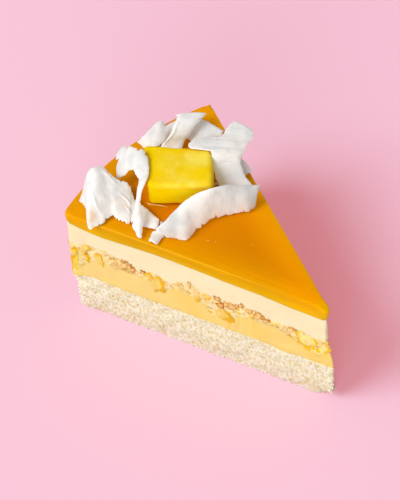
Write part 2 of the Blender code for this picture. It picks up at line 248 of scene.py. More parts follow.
def on_edge(place):
    """Whether this lies in a narrow band along the slice's outline, seen from above."""
    from_tip = from_tip_to(place)
    turn = math.atan2(abs(from_tip.y), -from_tip.x)
    from_cut = from_tip.length * math.sin(HALF_ANGLE - turn)
    return min(abs(from_cut), abs(CAKE_RADIUS - from_tip.length)) < EDGE_BAND


def wear_off_ends(piece):
    """Chips the bottom of the sponge's tip and its two corners, and makes its foot ragged."""
    for vert in piece.data.vertices:
        point = vert.co / MM
        share = fading(from_tip_to(vert.co).length / MM, TIP_CHIP_RADIUS)
        share *= 1 - smooth_step(*TIP_CHIP_HEIGHTS, point.z)
        vert.co += TIP_CHIP * share * MM
        for corner in SPONGE_CORNERS[1:]:
            share = fading((Vector((point.x, point.y)) - corner).length, CORNER_CHIP_RADIUS)
            share *= 0.55 + 0.45 * smooth_step(19, 13, point.z) - 0.2 * smooth_step(8, 1, point.z)
            inward = Vector((0.42, -math.copysign(0.91, corner.y), 0.0))
            vert.co += inward * (CORNER_CHIP + 0.8 * noise.noise(point / 2.5)) * share * MM
        if point.z < RAGGED_FOOT_HEIGHT and on_edge(vert.co):
            raised = RAGGED_FOOT * max(waves(point, RAGGED_FOOT_WAVES), 0.0)
            vert.co.z += raised * (1 - point.z / RAGGED_FOOT_HEIGHT) * MM
    piece.data.update()


def add_material(name, **sockets):
    """A material whose shader has these constants on its own sockets."""
    material = bpy.data.materials.new(name)
    material.use_nodes = True
    shader = material.node_tree.nodes["Principled BSDF"]
    for socket, value in sockets.items():
        shader.inputs[socket.replace("_", " ")].default_value = value
    return material


def add_node(material, kind, inputs, **settings):
    """A shader node with these settings. Each input is linked to a socket or holds a value."""
    made = material.node_tree.nodes.new(kind)
    for setting, value in settings.items():
        setattr(made, setting, value)
    for name, source in inputs.items():
        if isinstance(source, bpy.types.NodeSocket):
            material.node_tree.links.new(source, made.inputs[name])
        else:
            made.inputs[name].default_value = source
    return made


def place_in(material):
    return add_node(material, "ShaderNodeTexCoord", {}).outputs["Object"]


def height_in(material):
    return add_node(material, "ShaderNodeSeparateXYZ", {"Vector": place_in(material)}).outputs["Z"]


def stored_in(material, name):
    """The number that the mesh keeps for each of its points under this name."""
    return add_node(material, "ShaderNodeAttribute", {}, attribute_name=name).outputs["Fac"]


def stretched(material, scale, vector=None):
    """The place for a pattern that is longer along each axis the smaller its scale there is."""
    inputs = {"Vector": vector or place_in(material), "Scale": scale}
    return add_node(material, "ShaderNodeMapping", inputs).outputs["Vector"]


def noise_in(material, size, detail=2.0, vector=None, roughness=0.5):
    """Soft random values whose patches are about this many metres across."""
    vector = vector or place_in(material)
    inputs = {"Vector": vector, "Scale": 1 / size, "Detail": detail, "Roughness": roughness}
    return add_node(material, "ShaderNodeTexNoise", inputs).outputs["Fac"]


def cells_in(material, size, vector=None):
    """The distance from the nearest of scattered spots this far apart, as a share of that, and a number
    from 0 to 1 that is drawn for the spot."""
    inputs = {"Vector": vector or place_in(material), "Scale": 1 / size}
    cells = add_node(material, "ShaderNodeTexVoronoi", inputs)
    drawn = add_node(material, "ShaderNodeSeparateColor", {"Color": cells.outputs["Color"]})
    return cells.outputs["Distance"], drawn.outputs["Red"]


def share_between(material, value, low, high):
    """0 at low, 1 at high, with a soft start and end. Low may be the greater of the two."""
    inputs = {"Value": value, "From Min": low, "From Max": high}
    made = add_node(material, "ShaderNodeMapRange", inputs, interpolation_type="SMOOTHSTEP")
    return made.outputs["Result"]


def colours_along(material, value, colours, low=0.0, high=1.0):
    """The colours in turn, evenly spaced as the value goes from low to high."""
    ramp = add_node(material, "ShaderNodeValToRGB", {"Fac": value})
    stops = ramp.color_ramp.elements
    while len(stops) < len(colours):
        stops.new(0.5)
    for index, colour in enumerate(colours):
        stops[index].position = low + (high - low) * index / (len(colours) - 1)
        stops[index].color = (*colour, 1.0)
    return ramp.outputs["Color"]


def mix_colours(material, share, first, second, blend_type="MIX"):
    """The first colour, mixed with this share of the second. Each may be a socket or a plain colour."""
    inputs = {0: share}
    for name, colour in ((6, first), (7, second)):
        inputs[name] = colour if isinstance(colour, bpy.types.NodeSocket) else (*colour, 1.0)
    return add_node(material, "ShaderNodeMix", inputs, data_type="RGBA", blend_type=blend_type).outputs[2]


def tinted(material, share, colour, tint):
    """The colour multiplied by the tint, as far as the share says."""
    return mix_colours(material, share, colour, tint, "MULTIPLY")


def set_base(material, colour):
    shader = material.node_tree.nodes["Principled BSDF"]
    material.node_tree.links.new(colour, shader.inputs["Base Color"])


def set_bump(material, *heights):
    """Relief finer than the mesh: pairs of a height and how many metres it lifts the surface."""
    below = {}
    for height, lift in heights:
        bump = add_node(material, "ShaderNodeBump", {**below, "Height": height, "Distance": lift})
        below = {"Normal": bump.outputs["Normal"]}
    shader = material.node_tree.nodes["Principled BSDF"]
    material.node_tree.links.new(below["Normal"], shader.inputs["Normal"])


sponge = welded_copy("sponge", "sponge_crumb")
refine_sides(sponge, SPONGE_CUTS)
smooth_where(sponge, well_inside_cut, times=40)
sharpen_tip(sponge, reach=0.3 * MM)
lean_tip(sponge)
wear_off_ends(sponge)
store(sponge, "hollow", [hollow_at(vert.co / MM) for vert in sponge.data.vertices])
push_out(sponge, crumb_relief)
keep_rims_crisp(sponge, angle=70)
sponge_finish = add_material("sponge crumb", Roughness=0.9, Specular_IOR_Level=0.15)
upright = stretched(sponge_finish, (1.0, 1.0, CRUMB_RISE))
# Painted shade: the crumb goes from its own pale colour to tan in its pores and between its clumps of grain.
# This is partly the crumb's own colour and partly painted shade in these hollows.
sponge_colour = colours_along(sponge_finish, stored_in(sponge_finish, "hollow"), SPONGE_COLOURS)
patches = noise_in(sponge_finish, SPONGE_PATCH_SIZE, vector=upright)
patches = colours_along(sponge_finish, patches, SPONGE_PATCHES, low=0.36, high=0.62)
sponge_colour = tinted(sponge_finish, 1.0, sponge_colour, patches)
# Small pores, too fine for the mesh, are painted as tan spots: partly the crumb's colour, partly painted
# shade in the pores.
from_pore, pore_drawn = cells_in(sponge_finish, SMALL_PORE_SPACING, upright)
small_pores = colours_along(sponge_finish, from_pore, (SMALL_PORE, WHITE), low=0.12, high=0.33)
sponge_colour = tinted(sponge_finish, pore_drawn, sponge_colour, small_pores)
# Painted shade: the sponge is painted darker and pinker towards its foot, for the shade and the pink light
# of the floor there.
foot_shade_share = share_between(sponge_finish, height_in(sponge_finish), *SPONGE_FOOT_SHADE_HEIGHTS)
set_base(sponge_finish, tinted(sponge_finish, foot_shade_share, sponge_colour, SPONGE_FOOT_SHADE))
set_bump(sponge_finish, (noise_in(sponge_finish, 0.6 * MM, detail=3.0), 0.07 * MM))
sponge.data.materials.append(sponge_finish)
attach(sponge, "root")
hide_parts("sponge")

# Sponge tufts
# Where the knife left the sponge, small tufts of crumb hang on: along the foot of the slice, on its tip
# and at its corners, where they stick out level. They are thin, so light makes them paler than the cut.
RIM_END = CAKE_RADIUS * (1 + 2 * HALF_ANGLE)
WHOLE_WALK = RIM_END + CAKE_RADIUS
TUFTS_AT_FOOT, TUFTS_AT_TIP, TUFTS_AT_CORNERS = 300, 50, 90
TUFT_HEIGHTS = (0.3, 18.5)
TUFT_WAY_AT_TIP = Vector((0.97, -0.2, 0.0))
TUFT_SIZES = (0.10, 0.32)
THIN_TUFT_SIZES = (0.10, 0.22)
THIN_TUFT_REACH = 2 * MM
TUFT_COLOURS = ((0.84, 0.76, 0.60), (0.93, 0.89, 0.80))


def at_edge(walk):
    """The place on the slice's edge this far from the tip, and the way out of the slice there.

    The walk goes by the front cut to the rim, along the rim, and back to the tip by the back cut.
    """
    if CAKE_RADIUS <= walk <= RIM_END:
        turn = (walk - CAKE_RADIUS) / CAKE_RADIUS - HALF_ANGLE
        out = Vector((-math.cos(turn), math.sin(turn)))
        return TIP + out * CAKE_RADIUS, out
    side, from_tip = (-1, walk) if walk < CAKE_RADIUS else (1, WHOLE_WALK - walk)
    along = Vector((-math.cos(HALF_ANGLE), side * math.sin(HALF_ANGLE)))
    return TIP + along * from_tip, Vector((math.sin(HALF_ANGLE), side * math.cos(HALF_ANGLE)))


def tree_of(piece):
    """The mesh's points in a tree that finds the nearest to a place."""
    tree = kdtree.KDTree(len(piece.data.vertices))
    for vert in piece.data.vertices:
        tree.insert(vert.co, vert.index)
    tree.balance()
    return tree


def on_surface(tree, walk, height):
    """The mesh point nearest to this place on the cut, and the level way out of the slice there."""
    place, out = at_edge(walk)
    return tree.find((place.x, place.y, height))[0], Vector((out.x, out.y, 0.0))


def ball_of(rings):
    """The points and faces of a unit ball, as a start for a small bit."""
    bpy.ops.mesh.primitive_ico_sphere_add(subdivisions=rings, radius=1.0)
    ball = bpy.context.active_object
    points = np.array([vert.co[:] for vert in ball.data.vertices])
    faces = np.array([face.vertices[:] for face in ball.data.polygons])
    bpy.data.objects.remove(ball)
    return points, faces


def lumpy(ball, size, turn, lump, seed):
    """The ball's points as an uneven lump of this size: half its length, depth and height."""
    points = []
    for point in ball:
        point = Vector(point)
        swell = 1 + lump * noise.noise(point * 1.3 + Vector((seed, 0.0, 0.0)))
        swell += 0.5 * lump * noise.noise(point * 3.1 + Vector((0.0, seed, 0.0)))
        points.append(Vector((point.x * size[0], point.y * size[1], point.z * size[2])) * swell)
    return [turn @ point for point in points]


def join_bits(name, bits, faces):
    """One mesh of many bits that have the same faces, each given by its points."""
    count = len(bits[0])
    all_faces = np.concatenate([faces + count * index for index in range(len(bits))])
    mesh = bpy.data.meshes.new(name)
    mesh.from_pydata([point[:] for bit in bits for point in bit], [], all_faces.tolist())
    mesh.shade_smooth()
    piece = bpy.data.objects.new(name, mesh)
    bpy.context.scene.collection.objects.link(piece)
    return piece


small_ball, small_faces = ball_of(2)
draw = random.Random(11)
sponge_tree = tree_of(sponge)
tuft_places = []
for _ in range(TUFTS_AT_FOOT):
    tuft_places.append((draw.uniform(0, WHOLE_WALK), abs(draw.gauss(0.0, 0.8)) * MM, None))
for _ in range(TUFTS_AT_TIP):
    walk, height = draw.uniform(0, 1.5) * MM, draw.uniform(*TUFT_HEIGHTS) * MM
    tuft_places.append((walk, height, TUFT_WAY_AT_TIP))
for _ in range(TUFTS_AT_CORNERS):
    corner, side = draw.choice(((CAKE_RADIUS, -1), (RIM_END, 1)))
    walk, height = corner + draw.gauss(0, 1.2) * MM, draw.uniform(*TUFT_HEIGHTS) * MM
    tuft_places.append((walk, height, Vector((-0.42, 0.91 * side, 0.0))))
tufts = []
for walk, height, way_out in tuft_places:
    place, out = on_surface(sponge_tree, walk, height)
    out = way_out or out
    low_down = height < THIN_TUFT_REACH
    sizes = THIN_TUFT_SIZES if low_down or walk < THIN_TUFT_REACH else TUFT_SIZES
    size = draw.uniform(*sizes) * MM
    shape = (size * draw.uniform(1.0, 2.2 if low_down else 3.2), size, size * draw.uniform(0.6, 1.0))
    spread = 1.5 if low_down else 0.5
    way = math.atan2(out.y, out.x) + draw.uniform(-spread, spread)
    turn = Matrix.Rotation(way, 3, "Z") @ Matrix.Rotation(draw.uniform(-0.6, 0.6), 3, "Y")
    tuft = lumpy(small_ball, shape, turn, lump=1.0, seed=draw.uniform(0, 90))
    tuft = [place + out * shape[0] * 0.4 + point for point in tuft]
    tufts.append([(point.x, point.y, max(point.z, 0.0)) for point in tuft])
tuft_piece = join_bits("sponge_tufts", tufts, small_faces)
tuft_finish = add_material("torn crumb", Roughness=0.9, Specular_IOR_Level=0.1)
tuft_tone = noise_in(tuft_finish, 0.8 * MM)
set_base(tuft_finish, colours_along(tuft_finish, tuft_tone, TUFT_COLOURS, low=0.35, high=0.6))
tuft_piece.data.materials.append(tuft_finish)
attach(tuft_piece, "root")

# Mango curd
# Smooth yellow mango curd, set on the sponge, about 12 mm thick. The knife drew fine upright streaks
# through it. It is the solid, finer at the cut, and sunk a little into the sponge so that no gap shows.
LAYER_OVERLAP = 0.45 * MM
FACES_DOWN = -0.35
RIM_BAND = 1.5 * MM
FRAYED_HEIGHT = 1.6 * MM
CURD_CUTS = 5
CURD_WAVES = ((0.22, 7), (0.04, 0.8))
DRAGGED_WALK = 33
DRAGGED_REACH = 8
DRAGGED_START = (20 * MM, 27 * MM)
DRAGGED_END = (46 * MM, 38 * MM)
CURD_COLOURS = ((0.87, 0.62, 0.20), (0.88, 0.60, 0.165), (0.88, 0.57, 0.11))
CURD_FAR_FROM_TIP = (0.87, 0.61, 0.20)
CURD_AT_SPONGE = (0.85, 0.56, 0.14)
CURD_AT_RIM = (0.87, 0.56, 0.06)
CURD_FAR_REACH = (50 * MM, 72 * MM)
CURD_RIM_REACH = (95 * MM, 98 * MM)
CURD_SPONGE_HEIGHTS = (20.6 * MM, 19.2 * MM)


def walk_of(point):
    """How far round the edge from the tip this point lies, in metres."""
    from_tip = from_tip_to(point)
    turn = math.atan2(from_tip.y, -from_tip.x)
    if from_tip.length > CAKE_RADIUS - RIM_BAND:
        return CAKE_RADIUS * (1 + HALF_ANGLE + turn)
    return from_tip.length if turn < 0 else WHOLE_WALK - from_tip.length


def sink_underside(piece):
    """Lowers the faces that look down by the overlap, so that the layer below closes the gap."""
    below = set()
    for face in piece.data.polygons:
        if face.normal.z < FACES_DOWN:
            below.update(face.vertices)
    for index in below:
        piece.data.vertices[index].co.z -= LAYER_OVERLAP
    piece.data.update()


def fray_seam(piece, reach, size):
    """Makes the lower edge of a layer's cut ragged: up and down by this reach, at this size, in mm."""
    lowest = {}
    walks = [round(walk_of(vert.co) / MM) for vert in piece.data.vertices]
    for vert, walk in zip(piece.data.vertices, walks):
        lowest[walk] = min(lowest.get(walk, 1.0), vert.co.z)
    for vert, walk in zip(piece.data.vertices, walks):
        share = 1 - smooth_step(0.0, FRAYED_HEIGHT, vert.co.z - lowest[walk])
        place = vert.co / MM
        wave = noise.noise(place / size) + 0.6 * noise.noise(place / size * 2.3)
        vert.co.z += share * reach * wave * MM
    piece.data.update()


def curd_relief(point):
    walk = walk_of(point * MM) / MM
    dragged = fading(min(walk, WHOLE_WALK / MM - walk) - DRAGGED_WALK, DRAGGED_REACH)
    streaks = (0.01 + 0.06 * dragged) * noise.noise(Vector((walk / 0.9, point.z / 14, 3.0)))
    return waves(point, CURD_WAVES) + streaks


def vector_math(material, operation, *sources):
    """What a vector math node makes of these sockets and values. A length or dot product is a number."""
    made = add_node(material, "ShaderNodeVectorMath", dict(enumerate(sources)), operation=operation)
    return made.outputs["Value" if operation in ("LENGTH", "DOT_PRODUCT") else "Vector"]


def number_math(material, operation, *sources):
    return add_node(material, "ShaderNodeMath", dict(enumerate(sources)), operation=operation).outputs[0]


def product(material, first, second):
    return number_math(material, "MULTIPLY", first, second)


def reach_from_tip(material):
    """How far on the level a point lies from the tip, in metres, and the way to it from there."""
    from_tip = vector_math(material, "SUBTRACT", place_in(material), (*TIP, 0.0))
    level = vector_math(material, "MULTIPLY", from_tip, (1.0, 1.0, 0.0))
    return vector_math(material, "LENGTH", level), from_tip


curd = welded_copy("mango_curd", "mango_curd_layer")
sink_underside(curd)
refine_sides(curd, CURD_CUTS)
sharpen_tip(curd, reach=0.2 * MM)
lean_tip(curd)
push_out(curd, curd_relief)
keep_rims_crisp(curd)
curd_finish = add_material(
    "mango curd",
    Roughness=0.42,
    Specular_IOR_Level=0.3,
    Subsurface_Weight=0.5,
    Subsurface_Radius=(1.0, 0.6, 0.2),
    Subsurface_Scale=1.6 * MM,
)
curd_colour = colours_along(curd_finish, noise_in(curd_finish, 14 * MM), CURD_COLOURS, low=0.3, high=0.75)
curd_from_tip, _ = reach_from_tip(curd_finish)
curd_far = share_between(curd_finish, curd_from_tip, *CURD_FAR_REACH)
curd_colour = mix_colours(curd_finish, curd_far, curd_colour, CURD_FAR_FROM_TIP)
curd_low = product(
    curd_finish,
    share_between(curd_finish, height_in(curd_finish), *CURD_SPONGE_HEIGHTS),
    share_between(curd_finish, noise_in(curd_finish, 3 * MM), 0.3, 0.6),
)
curd_colour = mix_colours(curd_finish, curd_low, curd_colour, CURD_AT_SPONGE)
curd_rim_patches = product(
    curd_finish,
    share_between(curd_finish, curd_from_tip, *CURD_RIM_REACH),
    share_between(curd_finish, noise_in(curd_finish, 1.6 * MM), 0.42, 0.64),
)
curd_colour = mix_colours(curd_finish, curd_rim_patches, curd_colour, CURD_AT_RIM)
curd_dragged = product(
    curd_finish,
    share_between(curd_finish, curd_from_tip, *DRAGGED_START),
    share_between(curd_finish, curd_from_tip, *DRAGGED_END),
)
curd_streaks = noise_in(curd_finish, 1.1 * MM, vector=stretched(curd_finish, (1.0, 1.0, 0.12)))
curd_streaked = product(curd_finish, curd_dragged, share_between(curd_finish, curd_streaks, 0.6, 0.3))
set_base(curd_finish, mix_colours(curd_finish, curd_streaked, curd_colour, CURD_AT_SPONGE))
set_bump(curd_finish, (curd_streaked, 0.04 * MM), (noise_in(curd_finish, 0.5 * MM), 0.02 * MM))
curd.data.materials.append(curd_finish)
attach(curd, "root")
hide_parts("mango_curd")

# Crunchy layer
# Browned crumbs and bits of mango, held together by the cream that ran between them. The core is the
# solid with a lumpy cut, and it is creamy where no bit covers it.
CRUNCH_CUTS = 7
CRUNCH_WAVES = ((0.20, 2.2), (0.14, 0.9), (0.06, 0.4))
CRUNCH_COLOURS = ((0.81, 0.49, 0.10), (0.85, 0.64, 0.26), (0.88, 0.72, 0.41), (0.81, 0.56, 0.20))

crunch = welded_copy("crunch_layer", "crunch_core")
sink_underside(crunch)
refine_sides(crunch, CRUNCH_CUTS, steepest=0.75)
sharpen_tip(crunch, reach=0.2 * MM)
lean_tip(crunch)
fray_seam(crunch, reach=0.45, size=1.5)
push_out(crunch, lambda point: waves(point, CRUNCH_WAVES))
keep_rims_crisp(crunch)
crunch_finish = add_material("creamy crunch", Roughness=0.55, Specular_IOR_Level=0.3)
crunch_tone = noise_in(crunch_finish, 2.6 * MM, detail=3.0)
set_base(crunch_finish, colours_along(crunch_finish, crunch_tone, CRUNCH_COLOURS, low=0.32, high=0.68))
set_bump(crunch_finish, (noise_in(crunch_finish, 0.6 * MM, detail=3.0), 0.08 * MM))
crunch.data.materials.append(crunch_finish)
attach(crunch, "root")
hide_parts("crunch_layer")

# Mango bits
# Soft bits of mango in the crunchy layer, cut through by the knife, so that each shows a flat pale
# inside and a deeper yellow rind on one side. The front cut has its own; a rule spreads the others.
# Each is (walk from the tip, height, half its length, half its height, where its rind is), in mm and
# degrees: 0 is towards the tip, 90 is up.
FRONT_MANGO = (
    (98.8, 25.6, 1.4, 5.6, 180), (98.2, 32.6, 1.1, 1.8, 90), (93.3, 36.3, 1.6, 1.4, 330),
    (94.2, 30.2, 1.9, 2.6, 0), (88.3, 31.9, 2.0, 3.2, 30), (69.1, 32.7, 2.0, 2.5, 80),
    (67.1, 31.4, 1.0, 1.3, 45), (65.2, 30.0, 2.4, 4.4, 10), (53.5, 31.8, 0.9, 1.0, 0),
    (50.0, 31.3, 1.2, 2.5, 340), (46.2, 33.5, 1.3, 1.0, 300), (40.2, 27.2, 2.9, 3.4, 0),
    (10.2, 29.4, 2.8, 4.0, 215), (6.3, 30.2, 1.3, 1.6, 30), (4.2, 27.2, 1.3, 1.9, 200),
    (6.0, 25.9, 1.0, 1.4, 90), (2.2, 28.4, 1.5, 2.3, 0), (7.5, 28.0, 0.9, 1.2, 0),
)
MANGO_BITS_ELSEWHERE = 110
MANGO_TILT = 0.3
MANGO_LUMPS = 0.7
MANGO_PROUD = (0.02, 0.12)
POINTS_IN_BAND = 90
CUT_SKIN = 2.2 * MM
CUT_OFF_SHARE = 0.94
RIND_SHIFT = 0.42
RIND_EDGE = (0.74, 0.90)
MANGO_INSIDE = ((0.84, 0.50, 0.09), (0.87, 0.62, 0.18))
MANGO_RIND = (0.80, 0.41, 0.003)
MANGO_INSIDE_AT_RIM = (0.88, 0.60, 0.06)
MANGO_INSIDE_LIT_AT_TIP = (0.88, 0.70, 0.24)
MANGO_RIND_LIT_AT_TIP = (0.86, 0.50, 0.003)
MANGO_TIP_LIGHT_REACH = (18 * MM, 12 * MM)
MANGO_RIM_REACH = (95.5 * MM, 97.5 * MM)


def in_metres(places):
    """Places on the cut whose walk, height, half length and half height are now in metres."""
    return [
        (walk * MM, height * MM, length * MM, tall * MM, last) for walk, height, length, tall, last in places
    ]


def band_heights(walk):
    """How low and how high the crunchy layer reaches on the cut at this walk."""
    near = np.argpartition(abs(crunch_walks - walk), POINTS_IN_BAND)[:POINTS_IN_BAND]
    return crunch_heights[near].min(), crunch_heights[near].max()


def on_the_cut(place):
    """Whether this is on one of the three upright faces, and not inside the slice."""
    nearest, out = at_edge(walk_of(place))
    return (Vector((place.x, place.y)) - nearest).dot(out) > -CUT_SKIN


def bit_in_cut(ball, walk, height, shape, tilt, lumps, proud):
    """The points of an uneven bit in the crunchy layer's cut, tilted by at most this angle either way.

    The knife cut it off flush: it stands out of the cut by no more than a drawn number of mm. The
    draws are those of the section that calls.
    """
    place, out = on_surface(crunch_tree, walk, height)
    middle = Vector((place.x, place.y, height))
    upright_on_cut = Matrix((Vector((-out.y, out.x, 0.0)), out, Vector((0.0, 0.0, 1.0)))).transposed()
    turn = Matrix.Rotation(draw.uniform(-tilt, tilt), 3, out) @ upright_on_cut
    points = [middle + point for point in lumpy(ball, shape, turn, lumps, draw.uniform(0, 90))]
    most = draw.uniform(*proud) * MM
    for index, point in enumerate(points):
        over = (point - crunch_tree.find(point)[0]).dot(out) - most
        if over > 0:
            points[index] = point - out * over * CUT_OFF_SHARE
    return points


crunch_cut = [vert.co for vert in crunch.data.vertices if on_the_cut(vert.co)]
crunch_walks = np.array([walk_of(place) for place in crunch_cut])
crunch_heights = np.array([place.z for place in crunch_cut])
crunch_tree = tree_of(crunch)
ball, ball_faces = ball_of(3)
draw = random.Random(23)
mango_places = in_metres(FRONT_MANGO)
for _ in range(MANGO_BITS_ELSEWHERE):
    walk = draw.uniform(0, WHOLE_WALK)
    low, high = band_heights(walk)
    length = draw.uniform(0.5, 1.1) ** 2 * 1.9 * MM
    if walk < CAKE_RADIUS:
        length *= 0.5
    height = draw.triangular(low, high, low + 0.3 * (high - low))
    tall = length * draw.uniform(0.7, 1.3)
    mango_places.append((walk, height, length, tall, draw.uniform(0, 360)))
mango_bits = []
mango_rinds = []
for walk, height, length, tall, side in mango_places:
    shape = (length, min(length, tall) * 0.8, tall)
    mango_bits.append(bit_in_cut(ball, walk, height, shape, MANGO_TILT, MANGO_LUMPS, MANGO_PROUD))
    shift_x, shift_z = RIND_SHIFT * math.cos(math.radians(side)), RIND_SHIFT * math.sin(math.radians(side))
    for x, _, z in ball:
        mango_rinds.append(smooth_step(*RIND_EDGE, math.hypot(x + shift_x, z + shift_z)))
mango_piece = join_bits("mango_bits", mango_bits, ball_faces)
store(mango_piece, "rind", mango_rinds)
keep_rims_crisp(mango_piece, angle=40)
bit_finish = add_material("mango bits", Roughness=0.3, Specular_IOR_Level=0.06)
mango_inside = noise_in(bit_finish, 1.6 * MM)
mango_inside = colours_along(bit_finish, mango_inside, MANGO_INSIDE, low=0.35, high=0.65)
bit_from_tip, _ = reach_from_tip(bit_finish)
# Painted light: bits near the tip are painted paler and yellower inside and brighter in their rind, for the
# light that shows through the narrow tip.
tip_light_share = share_between(bit_finish, bit_from_tip, *MANGO_TIP_LIGHT_REACH)
mango_inside = mix_colours(bit_finish, tip_light_share, mango_inside, MANGO_INSIDE_LIT_AT_TIP)
bit_at_rim = share_between(bit_finish, bit_from_tip, *MANGO_RIM_REACH)
mango_inside = mix_colours(bit_finish, bit_at_rim, mango_inside, MANGO_INSIDE_AT_RIM)
mango_rind = mix_colours(bit_finish, tip_light_share, MANGO_RIND, MANGO_RIND_LIT_AT_TIP)
set_base(bit_finish, mix_colours(bit_finish, stored_in(bit_finish, "rind"), mango_inside, mango_rind))
set_bump(bit_finish, (noise_in(bit_finish, 0.7 * MM, detail=3.0), 0.10 * MM))
mango_piece.data.materials.append(bit_finish)
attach(mango_piece, "root")

# Browned crumbs
# Crisp crumbs, toasted from pale gold to brown, from 1 to 3 mm across. The knife drew some of them out
# of the layer, so they stand a little proud of the cream. The front cut has its own clusters.
# Each is (walk from the tip, height, half its length, half its height, how brown), in mm.
FRONT_CRUMBS = (
    (86.0, 37.0, 1.2, 1.4, 0.25), (83.4, 34.6, 0.8, 0.8, 0.75), (83.0, 31.4, 1.5, 1.7, 0.4),
    (80.6, 33.0, 1.3, 2.0, 0.55), (78.4, 36.1, 1.6, 0.9, 0.8), (76.3, 35.2, 1.5, 0.8, 0.85),
    (75.0, 33.2, 1.0, 2.0, 1.0), (78.0, 31.2, 2.0, 0.9, 0.8), (78.2, 33.7, 1.4, 0.9, 0.35),
    (75.9, 31.5, 1.1, 0.8, 0.6), (71.6, 34.0, 1.1, 0.8, 0.95), (56.3, 33.7, 1.0, 1.9, 0.4),
    (52.8, 37.0, 0.9, 2.1, 0.55), (48.4, 32.9, 0.8, 1.0, 0.3), (42.3, 34.5, 1.4, 1.2, 0.85),
    (41.2, 31.8, 1.5, 1.9, 0.95), (39.3, 33.4, 0.9, 1.1, 0.6), (37.1, 33.0, 1.7, 1.7, 0.6),
    (35.2, 34.2, 1.0, 0.9, 0.8), (33.3, 35.6, 1.2, 1.1, 0.75), (30.5, 34.3, 1.4, 1.4, 0.6),
    (28.4, 34.9, 1.0, 0.9, 0.7), (27.0, 33.8, 1.7, 1.4, 0.65), (24.0, 32.9, 1.6, 0.9, 0.85),
    (17.3, 32.0, 1.0, 1.1, 0.35), (14.5, 33.0, 1.4, 0.9, 0.7), (2.4, 30.8, 0.9, 0.9, 0.6),
)
CRUMBS_ELSEWHERE = 640
CRUMB_TILT = 0.6
CRUMB_LUMPS = 1.0
CRUMB_PROUD = (0.05, 0.3)
CRUMB_COLOURS = ((0.87, 0.72, 0.42), (0.83, 0.56, 0.25), (0.70, 0.36, 0.10), (0.42, 0.155, 0.02))
CRUMB_SPECKS = ((0.80, 0.72, 0.60), (1.1, 1.08, 1.0))

draw = random.Random(37)
crumb_places = in_metres(FRONT_CRUMBS)
for _ in range(CRUMBS_ELSEWHERE):
    walk = draw.uniform(0, WHOLE_WALK)
    low, high = band_heights(walk)
    length = draw.uniform(0.3, 0.9) * MM
    brown = draw.betavariate(1.3, 1.9)
    if walk < CAKE_RADIUS:
        length *= 0.65
        brown *= 0.85
    height = draw.triangular(low, high, low + 0.7 * (high - low))
    crumb_places.append((walk, height, length, length * draw.uniform(0.6, 1.2), brown))
crumb_bits = []
crumb_browns = []
for walk, height, length, tall, brown in crumb_places:
    shape = (length, min(length, tall), tall)
    crumb_bits.append(bit_in_cut(small_ball, walk, height, shape, CRUMB_TILT, CRUMB_LUMPS, CRUMB_PROUD))
    for x, _, z in small_ball:
        crumb_browns.append(brown * (0.4 + 0.7 * smooth_step(0.35, 0.85, math.hypot(x, z))))
crumb_piece = join_bits("browned_crumbs", crumb_bits, small_faces)
store(crumb_piece, "brown", crumb_browns)
keep_rims_crisp(crumb_piece, angle=50)
crumb_finish = add_material("browned crumbs", Roughness=0.6, Specular_IOR_Level=0.15)
crumb_colour = colours_along(crumb_finish, stored_in(crumb_finish, "brown"), CRUMB_COLOURS)
crumb_specks = noise_in(crumb_finish, 0.8 * MM, detail=3.0)
crumb_specks = colours_along(crumb_finish, crumb_specks, CRUMB_SPECKS, low=0.35, high=0.6)
set_base(crumb_finish, tinted(crumb_finish, 1.0, crumb_colour, crumb_specks))
set_bump(crumb_finish, (noise_in(crumb_finish, 0.4 * MM, detail=3.0), 0.12 * MM))
crumb_piece.data.materials.append(crumb_finish)
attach(crumb_piece, "root")

# Vanilla cream
# Smooth, pale vanilla cream that was poured over the crunchy layer, about 10 mm thick. The knife left
# faint level strokes in it, and drew a small lip at the tip. It is the solid, finer at the cut.
CREAM_CUTS = 5
CREAM_COLOURS = ((0.87, 0.72, 0.445), (0.88, 0.745, 0.48))
CREAM_WAVES = ((0.15, 9),)
CREAM_LIP = 0.8
CREAM_LIP_LENGTH = 3.2
CREAM_LIP_HEIGHT = 34.5
CREAM_LIP_THICKNESS = 1.3
SEAM_PLACES = (0, 3, 14, 24, 45, 60, 86, 93, 97, 100, 108, 135)
SEAM_LIFTS = (-1.6, -2.2, -2.3, -1.1, 0.3, 0.2, -1.0, -0.2, 0.8, 2.0, 1.0, 0.3)
CREAM_BEND_HEIGHTS = (40 * MM, 46 * MM)
LEFT_CORNER_ROUND = 1.1
CREAM_ROUND_HEIGHTS = (38 * MM, 44 * MM)


def cream_relief(point):
    strokes = 0.07 * noise.noise(Vector((point.x / 16, point.y / 16, point.z / 0.9)))
    walk = walk_of(point * MM) / MM
    from_tip = WHOLE_WALK / MM - walk if point.y > 0 else walk
    lip = fading(from_tip, CREAM_LIP_LENGTH) * fading(point.z - CREAM_LIP_HEIGHT, CREAM_LIP_THICKNESS)
    return waves(point, CREAM_WAVES) + strokes + CREAM_LIP * lip


def bend_seam(piece, straight, bent):
    """Moves a layer's edge at the seam of cream and jelly up or down to where the real seam runs.

    The whole move is made at the height called bent, and none of it at the one called straight.
    """
    for vert in piece.data.vertices:
        walk = walk_of(vert.co)
        from_tip = min(walk, WHOLE_WALK - walk)
        lift = float(np.interp(from_tip / MM, SEAM_PLACES, SEAM_LIFTS))
        vert.co.z += smooth_step(straight, bent, vert.co.z) * lift * MM
    piece.data.update()


